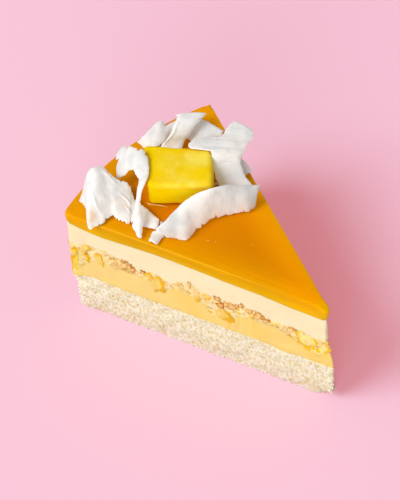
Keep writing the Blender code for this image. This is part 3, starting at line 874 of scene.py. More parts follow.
def round_left_corner(piece, sharp, rounded):
    """Rounds the corner of the front cut and the rim: not at the first height, fully at the other."""
    out = Vector((math.sin(HALF_ANGLE), -math.cos(HALF_ANGLE)))
    for vert in piece.data.vertices:
        from_tip = from_tip_to(vert.co)
        inside = Vector((from_tip.dot(out) / MM, (from_tip.length - CAKE_RADIUS) / MM))
        inside += Vector((LEFT_CORNER_ROUND, LEFT_CORNER_ROUND))
        if min(inside) > 0 and inside.length > LEFT_CORNER_ROUND:
            over = inside * (1 - LEFT_CORNER_ROUND / inside.length) * smooth_step(sharp, rounded, vert.co.z)
            vert.co.xy -= (out * over.x + from_tip.normalized() * over.y) * MM
    piece.data.update()


cream = welded_copy("vanilla_cream", "vanilla_cream_layer")
sink_underside(cream)
refine_sides(cream, CREAM_CUTS)
sharpen_tip(cream, reach=0.1 * MM)
lean_tip(cream)
fray_seam(cream, reach=0.5, size=1.8)
bend_seam(cream, *CREAM_BEND_HEIGHTS)
round_left_corner(cream, *CREAM_ROUND_HEIGHTS)
push_out(cream, cream_relief)
keep_rims_crisp(cream)
cream_finish = add_material(
    "vanilla cream",
    Roughness=0.38,
    Specular_IOR_Level=0.3,
    Subsurface_Weight=0.3,
    Subsurface_Radius=(1.0, 0.85, 0.6),
    Subsurface_Scale=1.2 * MM,
)
cream_tone = noise_in(cream_finish, 9 * MM)
set_base(cream_finish, colours_along(cream_finish, cream_tone, CREAM_COLOURS, low=0.35, high=0.65))
cream_strokes = noise_in(cream_finish, 0.8 * MM, vector=stretched(cream_finish, (0.08, 0.08, 1.0)))
set_bump(cream_finish, (cream_strokes, 0.04 * MM), (noise_in(cream_finish, 0.4 * MM), 0.015 * MM))
cream.data.materials.append(cream_finish)
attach(cream, "root")
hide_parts("vanilla_cream")

# Mango jelly
# The top is a set mango glaze, 5.4 mm thick and slightly see-through. The light that comes in through its
# sides is painted into its colour: it is yellower near the cuts, the rim, the tip and the cream below,
# brighter near the back cut, and a deeper orange inside. A painted highlight runs along the top edge of
# the cuts. A few bubbles are caught in it.
JELLY_CUTS = 3
JELLY_TOP = 52.0
JELLY_BEND_HEIGHTS = (51.5 * MM, 46.8 * MM)
JELLY_ROUND_HEIGHTS = (40 * MM, 41 * MM)
JELLY_EDGE_ROUND = 0.65 * MM
JELLY_EDGE_DRAWN = 0.75
JELLY_CORNER_ROUND = 1.5 * MM
JELLY_TIP_REACH = 2.8 * MM
JELLY_TIP_SAG = 1.9
JELLY_TIP_SAG_RADIUS = 2.7
JELLY_TIP_SAG_HEIGHTS = (47, 52)
JELLY_TIP_SWELL = (0.4, 0.1)
JELLY_DEEP = (0.71, 0.225, 0.0)
JELLY_NEAR_CUT = (0.77, 0.30, 0.0)
JELLY_AT_CUT = (0.725, 0.325, 0.0)
JELLY_AT_RIM = (0.79, 0.32, 0.001)
JELLY_AT_CREAM = (0.76, 0.385, 0.0)
JELLY_BACK_LIGHT = (1.16, 1.09, 1.0)
JELLY_AT_TIP = (0.86, 0.44, 0.0)
JELLY_STREAKS = ((0.955, 0.935, 1.0), (1.02, 1.035, 1.0))
JELLY_BUBBLE = (0.88, 0.44, 0.02)
JELLY_BUBBLE_SPACING = 3.4 * MM
JELLY_EDGE_HIGHLIGHT = (0.80, 0.40, 0.02)


def jelly_relief(point):
    return 0.10 * noise.noise(Vector((point.x / 14, point.y / 14, point.z / 2.2)))


def crispen_top_edge(piece):
    """Draws the soft edge round the jelly's top out to a crisp one, as a knife leaves it."""
    for vert in piece.data.vertices:
        place, out = at_edge(walk_of(vert.co))
        inside = (place - vert.co.xy).dot(out)
        below = JELLY_TOP * MM - vert.co.z
        if max(inside, below) < JELLY_EDGE_ROUND:
            from_tip = from_tip_to(vert.co).length / MM
            moved = JELLY_EDGE_DRAWN * (1 - corner_share(vert.co / MM)) * smooth_step(3, 14, from_tip)
            vert.co += Vector((out.x * inside, out.y * inside, below)) * moved
    piece.data.update()


def soften_tip(piece):
    """Lets the top of the jelly's tip sag and swell a little, as it did when the knife went through."""
    for vert in piece.data.vertices:
        share = fading(from_tip_to(vert.co).length / MM, JELLY_TIP_SAG_RADIUS)
        sag = JELLY_TIP_SAG * smooth_step(*JELLY_TIP_SAG_HEIGHTS, vert.co.z / MM)
        vert.co += Vector((*JELLY_TIP_SWELL, -sag)) * share * MM
    piece.data.update()


def sharpen_back_corner(piece):
    """Draws the rounded corner of the rim and the back cut out to a sharp one."""
    out = Vector((math.sin(HALF_ANGLE), math.cos(HALF_ANGLE)))
    for vert in piece.data.vertices:
        from_tip = from_tip_to(vert.co)
        from_cut, from_rim = -from_tip.dot(out), CAKE_RADIUS - from_tip.length
        if max(from_cut, from_rim) < JELLY_CORNER_ROUND:
            vert.co.xy += (out * from_cut + from_tip.normalized() * from_rim) * JELLY_EDGE_DRAWN
    piece.data.update()


def depths_inside(material):
    """How far a point lies inside the slice's sides, and from its front cut, its back cut and its tip."""
    reach, from_tip = reach_from_tip(material)
    front, back = (
        vector_math(material, "DOT_PRODUCT", from_tip, (-math.sin(HALF_ANGLE), side, 0.0))
        for side in (math.cos(HALF_ANGLE), -math.cos(HALF_ANGLE))
    )
    from_rim = number_math(material, "SUBTRACT", CAKE_RADIUS, reach)
    nearer_cut = number_math(material, "MINIMUM", front, back)
    return number_math(material, "MINIMUM", nearer_cut, from_rim), front, back, reach


jelly = welded_copy("mango_jelly", "mango_jelly_layer")
sink_underside(jelly)
refine_sides(jelly, JELLY_CUTS, steepest=0.95)
bend_seam(jelly, *JELLY_BEND_HEIGHTS)
crispen_top_edge(jelly)
sharpen_back_corner(jelly)
round_left_corner(jelly, *JELLY_ROUND_HEIGHTS)
smooth_where(jelly, lambda place: from_tip_to(place).length < JELLY_TIP_REACH, times=8)
soften_tip(jelly)
push_out(jelly, jelly_relief)
keep_rims_crisp(jelly)
jelly_finish = add_material(
    "mango jelly",
    Roughness=0.25,
    Specular_IOR_Level=0.02,
    Subsurface_Weight=0.35,
    Subsurface_Radius=(1.0, 0.35, 0.02),
    Subsurface_Scale=1.6 * MM,
)
jelly_depth, front_depth, back_depth, jelly_from_tip = depths_inside(jelly_finish)
jelly_height = height_in(jelly_finish)


def jelly_share(value, low, high):
    """How far the value, a depth or height in the jelly, is from low to high, both in mm."""
    return share_between(jelly_finish, value, low * MM, high * MM)


# Painted light: the light let in through the cuts, the rim, the cream below and the tip is painted in as
# yellower jelly there, and the jelly near the back cut is painted brighter.
jelly_colour = JELLY_DEEP
for value, none, whole, colour in (
    (jelly_depth, 13, 1, JELLY_NEAR_CUT),
    (jelly_depth, 2.2, 0.2, JELLY_AT_CUT),
    (jelly_from_tip, 78, 98, JELLY_AT_RIM),
    (jelly_height, 50.5, 46.2, JELLY_AT_CREAM),
):
    jelly_colour = mix_colours(jelly_finish, jelly_share(value, none, whole), jelly_colour, colour)
jelly_colour = tinted(jelly_finish, jelly_share(back_depth, 16, 3), jelly_colour, JELLY_BACK_LIGHT)
jelly_colour = mix_colours(jelly_finish, jelly_share(jelly_from_tip, 6, 1), jelly_colour, JELLY_AT_TIP)
streak_place = add_node(
    jelly_finish, "ShaderNodeCombineXYZ", {"X": front_depth, "Y": jelly_from_tip, "Z": jelly_height}
).outputs[0]
streaks = noise_in(jelly_finish, 0.5 * MM, vector=stretched(jelly_finish, (1.0, 0.03, 0.1), streak_place))
streaks = colours_along(jelly_finish, streaks, JELLY_STREAKS, low=0.4, high=0.6)
jelly_colour = tinted(jelly_finish, jelly_share(front_depth, 9, 4), jelly_colour, streaks)
from_bubble, bubble_drawn = cells_in(jelly_finish, JELLY_BUBBLE_SPACING)
bubbles = product(
    jelly_finish,
    share_between(jelly_finish, from_bubble, 0.13, 0.07),
    share_between(jelly_finish, bubble_drawn, 0.6, 1.0),
)
jelly_colour = mix_colours(jelly_finish, bubbles, jelly_colour, JELLY_BUBBLE)
# Painted highlight: a thin paler line along the top edge of the cuts, where the rounded edge catches the
# light.
top_edge_highlight = product(
    jelly_finish, jelly_share(jelly_depth, 0.34, 0.12), jelly_share(jelly_height, 51.75, 51.9)
)
for none, whole in ((10, 45), (92, 87)):
    top_edge_highlight = product(jelly_finish, top_edge_highlight, jelly_share(jelly_from_tip, none, whole))
set_base(jelly_finish, mix_colours(jelly_finish, top_edge_highlight, jelly_colour, JELLY_EDGE_HIGHLIGHT))
set_bump(
    jelly_finish,
    (noise_in(jelly_finish, 5 * MM), 0.10 * MM),
    (noise_in(jelly_finish, 1.2 * MM), 0.01 * MM),
)
jelly.data.materials.append(jelly_finish)
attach(jelly, "root")
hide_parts("mango_jelly")

# Mango cube
# A hand-cut block of ripe mango, 23 by 18 by 11 mm, a little out of square, its edges soft with juice.
# It lies on the jelly, which holds it by its wet underside.
CUBE_MIDDLE = Vector((-22.3, 1.8, 57.6)) * MM
CUBE_SIZE = Vector((22.8, 17.6, 10.8)) * MM
CUBE_TURN = math.radians(42)
CUBE_SKEW = math.tan(math.radians(6))
CUBE_ROUND = 2.2 * MM
CUBE_CUTS = 14
CUBE_CORNER_OUT = Vector((-1.4 * MM, 0.9 * MM, 0.0))
CUBE_CORNER_IN = Vector((1.1 * MM, 1.1 * MM, 0.0))
CUBE_WAVES = ((0.35, 9), (0.10, 2.4), (0.03, 0.8))
CUBE_SHRINK = 0.15
CUBE_COLOURS = ((0.86, 0.53, 0.0), (0.89, 0.60, 0.001), (0.90, 0.64, 0.004))
CUBE_PALE = (0.91, 0.71, 0.09)
CUBE_FRONT = (0.90, 0.63, 0.0)
CUBE_FRONT_RIGHT_LIGHT = (1.0, 0.84, 0.01)
CUBE_RIGHT_LIGHT_REACH = (-22 * MM, -10 * MM)
CUBE_FRONT_HEIGHTS = (61.8 * MM, 60.0 * MM)
CUBE_PALE_REACH = (-26 * MM, -17 * MM)
CUBE_PALE_HEIGHTS = (60.5 * MM, 62 * MM)

bpy.ops.mesh.primitive_cube_add(size=1.0)
cube = bpy.context.active_object
cube.name = "mango_block"
select_only(cube)
bpy.ops.object.mode_set(mode="EDIT")
bpy.ops.mesh.select_all(action="SELECT")
bpy.ops.transform.resize(value=CUBE_SIZE)
bpy.ops.mesh.bevel(offset=CUBE_ROUND, segments=5, profile=0.6)
bpy.ops.mesh.select_all(action="SELECT")
bpy.ops.mesh.subdivide(number_cuts=CUBE_CUTS)
bpy.ops.object.mode_set(mode="OBJECT")
cube_turn = Matrix.Rotation(CUBE_TURN, 3, "Z")
for vert in cube.data.vertices:
    near_right, near_back = vert.co.x / CUBE_SIZE.x + 0.5, vert.co.y / CUBE_SIZE.y + 0.5
    vert.co += CUBE_CORNER_OUT * ((1 - near_right) * near_back) ** 2
    vert.co -= CUBE_CORNER_IN * (near_right * near_back) ** 6
    vert.co.x -= CUBE_SKEW * vert.co.y
    vert.co = CUBE_MIDDLE + cube_turn @ vert.co
cube.data.shade_smooth()
push_out(cube, lambda point: waves(point, CUBE_WAVES) - CUBE_SHRINK)
cube_finish = add_material(
    "mango flesh",
    Roughness=0.36,
    Specular_IOR_Level=0.03,
    Subsurface_Weight=0.3,
    Subsurface_Radius=(1.0, 0.8, 0.03),
    Subsurface_Scale=2.0 * MM,
)
cube_height = height_in(cube_finish)
to_right = vector_math(
    cube_finish, "DOT_PRODUCT", place_in(cube_finish), (math.cos(CUBE_TURN), math.sin(CUBE_TURN), 0.0)
)
cube_colour = noise_in(cube_finish, 7 * MM, detail=3.0)
cube_colour = colours_along(cube_finish, cube_colour, CUBE_COLOURS, low=0.3, high=0.7)
# Painted light: the right of the front face is painted brighter, for the light that the front strip throws
# back on it.
right_light_share = share_between(cube_finish, to_right, *CUBE_RIGHT_LIGHT_REACH)
cube_front = mix_colours(cube_finish, right_light_share, CUBE_FRONT, CUBE_FRONT_RIGHT_LIGHT)
below_top = share_between(cube_finish, cube_height, *CUBE_FRONT_HEIGHTS)
cube_colour = mix_colours(cube_finish, below_top, cube_colour, cube_front)
cube_pale = share_between(cube_finish, noise_in(cube_finish, 8 * MM, detail=3.0), 0.32, 0.68)
cube_pale = product(cube_finish, cube_pale, share_between(cube_finish, cube_height, *CUBE_PALE_HEIGHTS))
cube_pale = product(cube_finish, cube_pale, share_between(cube_finish, to_right, *CUBE_PALE_REACH))
set_base(cube_finish, mix_colours(cube_finish, cube_pale, cube_colour, CUBE_PALE))
set_bump(
    cube_finish,
    (noise_in(cube_finish, 2.5 * MM, detail=3.0), 0.12 * MM),
    (noise_in(cube_finish, 0.4 * MM), 0.02 * MM),
)
cube.data.materials.append(cube_finish)
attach(cube, "root")
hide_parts("mango_cube")

# Juice
# A little mango juice has run out under the front of the cube, and its bead catches the light.
# It lies in the corner between the jelly and the cube.
JUICE_PLACE = Vector((-22.5, -9.7, 52.1)) * MM
JUICE_SHAPE = Vector((3.7, 0.28, 0.22)) * MM
JUICE_TURN = Matrix.Rotation(math.radians(34), 3, "Z")
juice_points = [JUICE_PLACE + point for point in lumpy(ball, JUICE_SHAPE, JUICE_TURN, lump=0.5, seed=3.0)]
juice = join_bits("mango_juice", [juice_points], ball_faces)
juice_finish = add_material(
    "mango juice", Base_Color=(0.86, 0.52, 0.12, 1.0), Roughness=0.12, Specular_IOR_Level=0.6
)
juice.data.materials.append(juice_finish)
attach(juice, "root")

# Coconut shavings
# Eight curled strips, shaved from fresh coconut with a blade: white, finely fibrous across the strip,
# thinner and torn along their edges, with a tan trace of skin. They lie on the jelly and on each other.
SHAVING_GRID = 0.25
SHAVING_THICKNESS = 0.6 * MM
SHAVING_EDGE_SHARE = 0.3
SHAVING_THIN_REACH = 0.9
TORN_WAVES = ((0.36, 2.6, 0.0), (0.42, 1.1, 7.0), (0.30, 0.55, 9.0))
TORN_SHIFT = 0.18
EDGE_GLOW = 0.12
EDGE_GLOW_REACH = 0.45
FIBRE_SPACING = 0.55
FIBRE_HEIGHT = 0.025
WRINKLE_SIZE = 3.4
WRINKLE_HEIGHT = 0.20
COCONUT_COLOURS = ((0.78, 0.77, 0.755), (0.87, 0.865, 0.85))
COCONUT_FIBRE = (0.95, 0.935, 0.915)
COCONUT_SKIN = (0.74, 0.58, 0.44)
# Each station across a strip is a point on its left edge and one on its right, as (x, y, height above
# the jelly) in mm. The bow lifts the middle of the strip. A tear is (side, station, depth, half width),
# a stain of skin (station, share across, radius, strength), and a ridge runs from (station, share
# across) to the same, with its height and half width. A notch in the first end is (share across, depth,
# half width). The light tones paint light and shade along the strip's length: above 1 is painted light,
# below 1 painted shade.
# Skin along one edge is (side, strength, reach). A side is 0 for the left edge and 1 for the right.
SHAVINGS = {
    "coconut_shaving_fold": {
        "bow": (0.8, 1.8, 0.6, 0.2),
        "light_tones": (0.90, 0.93, 1.1, 0.93, 1.06, 1.2),
        "skin": (1, 0.3, 0.35),
        "stains": (
            (2.8, 0.86, 2.2, 1.3), (7.0, 0.2, 2.0, 0.2), (6.6, 0.55, 2.2, 0.45), (5.4, 0.1, 1.6, 0.3),
            (9.3, 0.5, 2.4, 0.2), (5.6, 0.75, 2.2, 0.3),
        ),
        "ridges": (
            (2.4, 0.25, 4.4, 1.0, 0.22, 1.6), (4.6, 0.10, 6.3, 0.16, 0.22, 0.6),
            (6.2, 0.35, 7.3, 0.5, 0.3, 0.4), (6.6, 0.6, 7.8, 0.75, 0.25, 0.4),
        ),
        "stations": (
            ((-43.5, -24.9, 2.0), (-42.3, -27.7, 1.2)), ((-43.9, -23.5, 4.4), (-37.3, -28.5, 1.8)),
            ((-44.8, -21.1, 7.4), (-31.6, -32.8, 0.6)), ((-44.9, -19.7, 8.6), (-30.2, -30.9, 0.9)),
            ((-44.2, -17.9, 9.2), (-29.4, -28.4, 0.9)), ((-42.6, -15.2, 8.0), (-29.4, -24.0, 1.2)),
            ((-37.6, -14.7, 6.2), (-26.5, -23.6, 1.1)), ((-33.0, -12.5, 4.6), (-23.0, -22.5, 1.0)),
            ((-28.4, -14.4, 2.9), (-22.5, -21.0, 0.8)), ((-23.0, -14.0, 1.6), (-18.5, -19.5, 0.8)),
            ((-16.5, -14.0, 1.0), (-14.0, -17.0, 0.8)),
        ),
        "tears": (
            (1, 6.6, 0.6, 0.5), (1, 7.6, 1.0, 0.8), (0, 7.4, 0.8, 0.8), (1, 3.6, 0.5, 0.5),
            (0, 6.4, 0.7, 0.4), (0, 7.0, 0.9, 0.35), (0, 8.0, 0.9, 0.4), (1, 4.4, 0.7, 0.4),
            (1, 5.2, 0.5, 0.3), (1, 5.9, 0.9, 0.35), (1, 6.25, 0.7, 0.3), (1, 7.05, 1.0, 0.3),
            (1, 8.1, 0.8, 0.3), (0, 5.4, 0.6, 0.4),
        ),
    },
    "coconut_shaving_curl": {
        "bow": (1.2,),
        "light_tones": (0.82, 0.88, 0.92, 0.95, 1.05, 1.05),
        "skin": (1, 0.1, 0.2),
        "stations": (
            ((-43.8, -8.4, 8.2), (-38.4, -13.5, 3.5)), ((-43.4, -5.2, 10.4), (-36.6, -11.0, 6.0)),
            ((-39.4, -4.1, 12.0), (-35.0, -9.0, 8.3)), ((-34.7, -2.9, 12.4), (-32.0, -10.0, 9.6)),
            ((-29.0, -6.0, 11.9), (-28.5, -11.5, 9.3)), ((-26.0, -9.5, 11.6), (-27.0, -13.5, 8.5)),
            ((-24.5, -13.2, 9.8), (-25.0, -16.0, 7.4)), ((-23.0, -15.8, 7.4), (-23.5, -18.0, 6.0)),
            ((-21.0, -17.5, 5.4), (-21.5, -21.0, 4.8)), ((-18.5, -19.5, 3.4), (-19.5, -23.0, 3.0)),
            ((-15.2, -23.6, 1.0), (-15.8, -24.2, 1.0)),
        ),
        "tears": (
            (0, 1.4, 1.6, 0.7), (0, 2.5, 1.2, 0.7), (0, 3.2, 0.8, 0.4), (0, 0.6, 0.8, 0.4),
            (1, 8.6, 0.5, 0.5),
        ),
        "notch": (0.42, 2.0, 1.6),
    },
    "coconut_shaving_rear_left": {
        "bow": (0.7,),
        "light_tones": (1.1, 1.02, 1.2),
        "skin": (1, 0.2, 0.3),
        "stains": ((3.2, 0.6, 1.8, 0.15),),
        "stations": (
            ((-47.8, 3.8, 1.2), (-44.4, 3.9, 0.8)), ((-47.6, 8.8, 2.6), (-42.6, 5.4, 1.6)),
            ((-47.8, 14.9, 3.2), (-40.8, 6.8, 2.2)), ((-45.1, 15.3, 2.6), (-40.0, 9.4, 1.8)),
            ((-45.0, 18.4, 2.0), (-41.1, 12.7, 1.2)), ((-44.5, 21.5, 1.2), (-41.0, 16.0, 0.8)),
        ),
        "tears": ((0, 2.45, 0.9, 0.4), (0, 3.0, 0.5, 0.3), (0, 1.5, 0.4, 0.3)),
    },
    "coconut_shaving_rear_middle": {
        "bow": (0.8,),
        "light_tones": (1.13, 1.1),
        "skin": (0, 0.2, 0.4),
        "stains": ((0.9, 0.5, 2.2, 0.45), (0.8, 0.15, 2.0, 0.2)),
        "ridges": ((0.5, 0.12, 4.0, 0.12, 0.5, 0.7),),
        "stations": (
            ((-39.5, 6.0, 1.2), (-33.5, 11.0, 1.2)), ((-39.5, 8.5, 2.6), (-35.0, 14.5, 2.4)),
            ((-39.0, 12.0, 5.0), (-35.0, 17.0, 4.2)), ((-40.0, 14.5, 6.4), (-35.5, 19.5, 5.2)),
            ((-41.5, 17.5, 7.0), (-36.0, 22.5, 5.6)), ((-43.7, 19.2, 6.0), (-37.5, 27.5, 4.8)),
        ),
        "tears": ((0, 4.4, 1.0, 0.5), (0, 4.8, 0.5, 0.3), (1, 4.3, 0.5, 0.4)),
    },
    "coconut_shaving_rear_right": {
        "bow": (0.7,),
        "light_tones": (1.12, 1.12),
        "skin": (1, 0.3, 0.4),
        "stations": (
            ((-43.0, 26.0, 0.8), (-39.0, 18.0, 0.8)), ((-38.7, 26.5, 1.6), (-34.1, 17.2, 1.2)),
            ((-35.8, 27.1, 1.7), (-31.6, 20.2, 1.2)), ((-32.6, 27.5, 1.4), (-30.2, 23.8, 1.0)),
            ((-29.6, 28.1, 1.0), (-28.9, 26.4, 0.8)),
        ),
    },
    "coconut_shaving_fork": {
        "bow": (0.8,),
        "light_tones": (1.3, 1.07, 0.95, 0.79, 0.83),
        "skin": (1, 0.2, 0.3),
        "stains": ((4.2, 0.96, 1.4, 0.25), (7.4, 0.06, 1.4, 0.15)),
        "stations": (
            ((-11.0, 9.5, 0.8), (-3.5, 17.0, 0.8)), ((-12.6, 9.7, 2.5), (-5.0, 18.0, 1.8)),
            ((-14.9, 10.4, 5.0), (-8.5, 18.5, 3.5)), ((-16.4, 11.4, 7.8), (-11.0, 19.5, 5.5)),
            ((-18.2, 12.5, 10.0), (-12.0, 20.5, 7.3)), ((-19.2, 13.0, 11.6), (-12.5, 21.5, 8.0)),
            ((-21.0, 11.8, 12.0), (-12.5, 22.5, 8.6)), ((-24.9, 9.1, 12.1), (-13.0, 23.0, 9.0)),
            ((-26.5, 10.2, 12.3), (-13.0, 23.5, 9.6)), ((-25.7, 14.6, 12.5), (-13.0, 24.5, 10.2)),
            ((-22.0, 17.2, 12.9), (-13.0, 25.0, 10.8)), ((-20.5, 19.8, 13.4), (-12.5, 26.0, 11.8)),
            ((-20.5, 22.2, 14.4), (-12.5, 27.5, 13.0)), ((-20.5, 24.6, 15.2), (-14.0, 28.0, 14.2)),
            ((-20.0, 26.2, 15.4), (-15.5, 27.2, 15.0)),
        ),
    },
    "coconut_shaving_front": {
        "bow": (2.2,),
        "light_tones": (0.9, 0.9, 0.82, 0.8, 1.12, 1.12, 1.05, 0.98, 0.87, 0.74, 0.70),
        "skin": (1, 0.5, 0.45),
        "stains": (
            (9.6, 0.95, 2.2, 0.3), (7.5, 0.97, 1.5, 0.3), (4.4, 0.9, 1.8, 0.2), (0.7, 0.4, 1.6, 0.3),
        ),
        "stations": (
            ((-12.3, -22.4, 0.8), (-9.1, -21.7, 0.8)), ((-13.7, -20.0, 1.2), (-10.0, -18.9, 0.8)),
            ((-13.2, -17.9, 3.2), (-10.2, -17.5, 0.8)), ((-10.9, -15.7, 7.0), (-7.5, -16.0, 0.8)),
            ((-10.7, -10.0, 9.0), (-4.0, -13.0, 0.8)), ((-10.3, -6.5, 10.2), (-4.6, -8.2, 0.8)),
            ((-9.1, -2.1, 11.2), (-4.4, -4.6, 0.8)), ((-7.0, 1.5, 11.9), (-4.2, -0.6, 0.8)),
            ((-5.8, 5.8, 10.9), (-2.6, 1.8, 0.8)), ((-4.0, 10.0, 9.0), (0.0, 6.5, 0.8)),
            ((-1.5, 13.5, 8.0), (2.5, 9.5, 0.8)), ((1.2, 16.8, 7.5), (2.6, 12.7, 0.9)),
        ),
        "tears": (
            (1, 5.8, 0.9, 0.6), (1, 7.4, 0.6, 0.5), (1, 6.6, 0.4, 0.3), (1, 8.3, 0.4, 0.4),
            (1, 9.6, 0.6, 0.4), (1, 10.3, 0.6, 0.4), (1, 2.1, 0.7, 0.6), (0, 1.7, 0.8, 0.6),
        ),
    },
    "coconut_shaving_shard": {
        "bow": (0.3,),
        "light_tones": (1.16, 1.16),
        "skin": (1, 0.2, 0.3),
        "stations": (
            ((-15.6, 22.4, 2.0), (-14.6, 23.4, 2.0)), ((-13.4, 20.9, 1.4), (-11.2, 22.9, 1.4)),
            ((-9.8, 19.5, 0.8), (-9.2, 22.2, 0.8)),
        ),
    },
}


def smooth_between(points, place):
    """The point at this place, counted in stations, on a smooth curve through the points."""
    index = min(int(place), len(points) - 2)
    share = place - index
    before = points[max(index - 1, 0)]
    start, end = points[index], points[index + 1]
    after = points[min(index + 2, len(points) - 1)]
    square, cube_of = share**2, share**3
    return (
        start * (2 * cube_of - 3 * square + 1)
        + (end - before) / 2 * (cube_of - 2 * square + share)
        + end * (3 * square - 2 * cube_of)
        + (after - start) / 2 * (cube_of - square)
    )


def torn_edge(along, seed):
    """How far in from its clean line an edge is torn here, in mm."""
    broad, fine, finest = (
        height * noise.noise(Vector((along / size, seed, row))) for height, size, row in TORN_WAVES
    )
    return broad + abs(fine) + abs(finest) - TORN_SHIFT


def along_strip(values, share):
    """The value at this share of the strip's length, between values that are evenly spaced along it."""
    return float(np.interp(share, np.linspace(0, 1, len(values)), values))


def torn_ends(strip, v, widest, seed):
    """How far in the strip's first and last ends are torn at this share of its width, in mm."""
    first, last = (torn_edge(v * widest, seed + row) for row in (3, 5))
    if "notch" in strip:
        notch_across, depth, half = strip["notch"]
        first += depth * max(1 - abs(v - notch_across) * widest / half, 0.0)
    return first, last


def torn_sides(strip, along, station_length, seed):
    """How far in the strip's left and right sides are torn at this length, in mm."""
    torn = [torn_edge(along, seed), torn_edge(along, seed + 1)]
    for side, at, depth, half in strip.get("tears", ()):
        away = abs(along - at * station_length) / half
        torn[side] += depth * max(1 - away, 0.0) ** 0.7
    return torn


def lifted(strip, u, place, across, width, widest):
    """How far the strip's bow and its ridges lift it here, in mm."""
    lift = along_strip(strip["bow"], u) * 4 * across * (1 - across) * width / widest
    for from_place, from_across, to_place, to_across, height, half in strip.get("ridges", ()):
        share = (place - from_place) / (to_place - from_place)
        if 0 < share < 1:
            away = (across - from_across - share * (to_across - from_across)) * width
            lift += height * fading(away, half) * min(share, 1 - share, 0.25) * 4
    return lift


def stained(strip, point, seed, to_edge, along, across, station_length, width):
    """How much of the nut's skin tints the strip here: more towards one edge, and in its stains."""
    mottle = 0.5 + 0.9 * noise.noise(point / 2.1 + Vector((0.0, seed, 0.0)))
    _, amount, reach = strip["skin"]
    tint = amount * math.exp(-to_edge / (reach * 3)) * mottle
    for at, at_across, radius, strength in strip.get("stains", ()):
        apart = math.hypot(along - at * station_length, (across - at_across) * width)
        tint += strength * fading(apart, radius) * (0.6 + mottle * 0.8)
    return max(tint, 0.0)


def add_shaving(node, strip, seed):
    """A fine grid laid over the strip's stations, torn at its edges and given its thickness."""
    left, right = (
        [Vector(station[side]) + Vector((0.0, 0.0, JELLY_TOP)) for station in strip["stations"]]
        for side in (0, 1)
    )
    middles = [(a + b) / 2 for a, b in zip(left, right)]
    length = sum((b - a).length for a, b in zip(middles, middles[1:]))
    station_length = length / (len(left) - 1)
    widest = max((a - b).length for a, b in zip(left, right))
    bpy.ops.mesh.primitive_grid_add(
        x_subdivisions=max(int(length / SHAVING_GRID), 8),
        y_subdivisions=max(int(widest / SHAVING_GRID), 6),
        size=1.0,
    )
    piece = bpy.context.active_object
    piece.name = node.replace("shaving", "strip")
    looks = {"skin": [], "light_tone": [], "along": [], "across": []}
    rims = []
    for vert in piece.data.vertices:
        u, v = vert.co.x + 0.5, vert.co.y + 0.5
        first_torn, last_torn = torn_ends(strip, v, widest, seed)
        u += (first_torn * (1 - u) ** 6 - last_torn * u**6) / length
        along = min(max(u, 0.0), 1.0) * length
        place = along / station_length
        start, end = smooth_between(left, place), smooth_between(right, place)
        width = max((end - start).length, 0.5)
        left_torn, right_torn = (
            min(torn / width, 0.4) for torn in torn_sides(strip, along, station_length, seed)
        )
        across = left_torn + (1 - right_torn - left_torn) * v
        lift = lifted(strip, u, place, across, width, widest)
        point = start.lerp(end, across) + Vector((0.0, 0.0, lift))
        fibre = FIBRE_HEIGHT * noise.noise(Vector((along / FIBRE_SPACING, across * width / 7, seed)))
        wrinkle = WRINKLE_HEIGHT * noise.noise(point / WRINKLE_SIZE + Vector((seed, 0.0, 0.0)))
        vert.co = (point + Vector((0.0, 0.0, fibre + wrinkle))) * MM
        to_edge = (1 - v if strip["skin"][0] == 1 else v) * width
        tint = stained(strip, point, seed, to_edge, along, across, station_length, width)
        side_rim, end_rim = min(v, 1 - v) * width, min(u, 1 - u) * length
        # Painted light: the strip is painted whiter along its thin side edges, for the light that shows
        # through them.
        edge_glow = 1 + EDGE_GLOW * math.exp(-side_rim / EDGE_GLOW_REACH)
        looks["skin"].append(tint)
        looks["light_tone"].append(along_strip(strip["light_tones"], u) * edge_glow)
        looks["along"].append(along * MM)
        looks["across"].append(across * width * MM)
        rims.append(min(side_rim / SHAVING_THIN_REACH, end_rim / SHAVING_THIN_REACH, 1.0))
    for name, values in looks.items():
        store(piece, name, values)
    thick = piece.vertex_groups.new(name="thick")
    for index, rim in enumerate(rims):
        thick.add([index], max(rim, 0.0), "REPLACE")
    select_only(piece)
    wall = piece.modifiers.new("thickness", "SOLIDIFY")
    wall.thickness = SHAVING_THICKNESS
    wall.offset = 0.0
    wall.vertex_group = "thick"
    wall.thickness_vertex_group = SHAVING_EDGE_SHARE
    bpy.ops.object.modifier_apply(modifier="thickness")
    bpy.ops.object.mode_set(mode="EDIT")
    bpy.ops.mesh.select_all(action="SELECT")
    bpy.ops.mesh.normals_make_consistent(inside=False)
    bpy.ops.object.mode_set(mode="OBJECT")
    keep_rims_crisp(piece, angle=40)
    return piece


coconut_finish = add_material(
    "fresh coconut",
    Roughness=0.5,
    Specular_IOR_Level=0.25,
    Subsurface_Weight=1.0,
    Subsurface_Radius=(1.0, 0.98, 0.95),
    Subsurface_Scale=0.6 * MM,
)
coconut_colour = noise_in(coconut_finish, 3.5 * MM, detail=3.0)
coconut_colour = colours_along(coconut_finish, coconut_colour, COCONUT_COLOURS, low=0.38, high=0.6)
on_strip = {"X": stored_in(coconut_finish, "along"), "Y": stored_in(coconut_finish, "across")}
on_strip = add_node(coconut_finish, "ShaderNodeCombineXYZ", on_strip).outputs[0]
across_strip = stretched(coconut_finish, (1.0, 0.1, 1.0), on_strip)
fibres = noise_in(coconut_finish, FIBRE_SPACING * MM, detail=3.0, vector=across_strip, roughness=0.7)
fibre_shade = colours_along(coconut_finish, fibres, (COCONUT_FIBRE, WHITE), low=0.36, high=0.56)
coconut_colour = tinted(coconut_finish, 1.0, coconut_colour, fibre_shade)
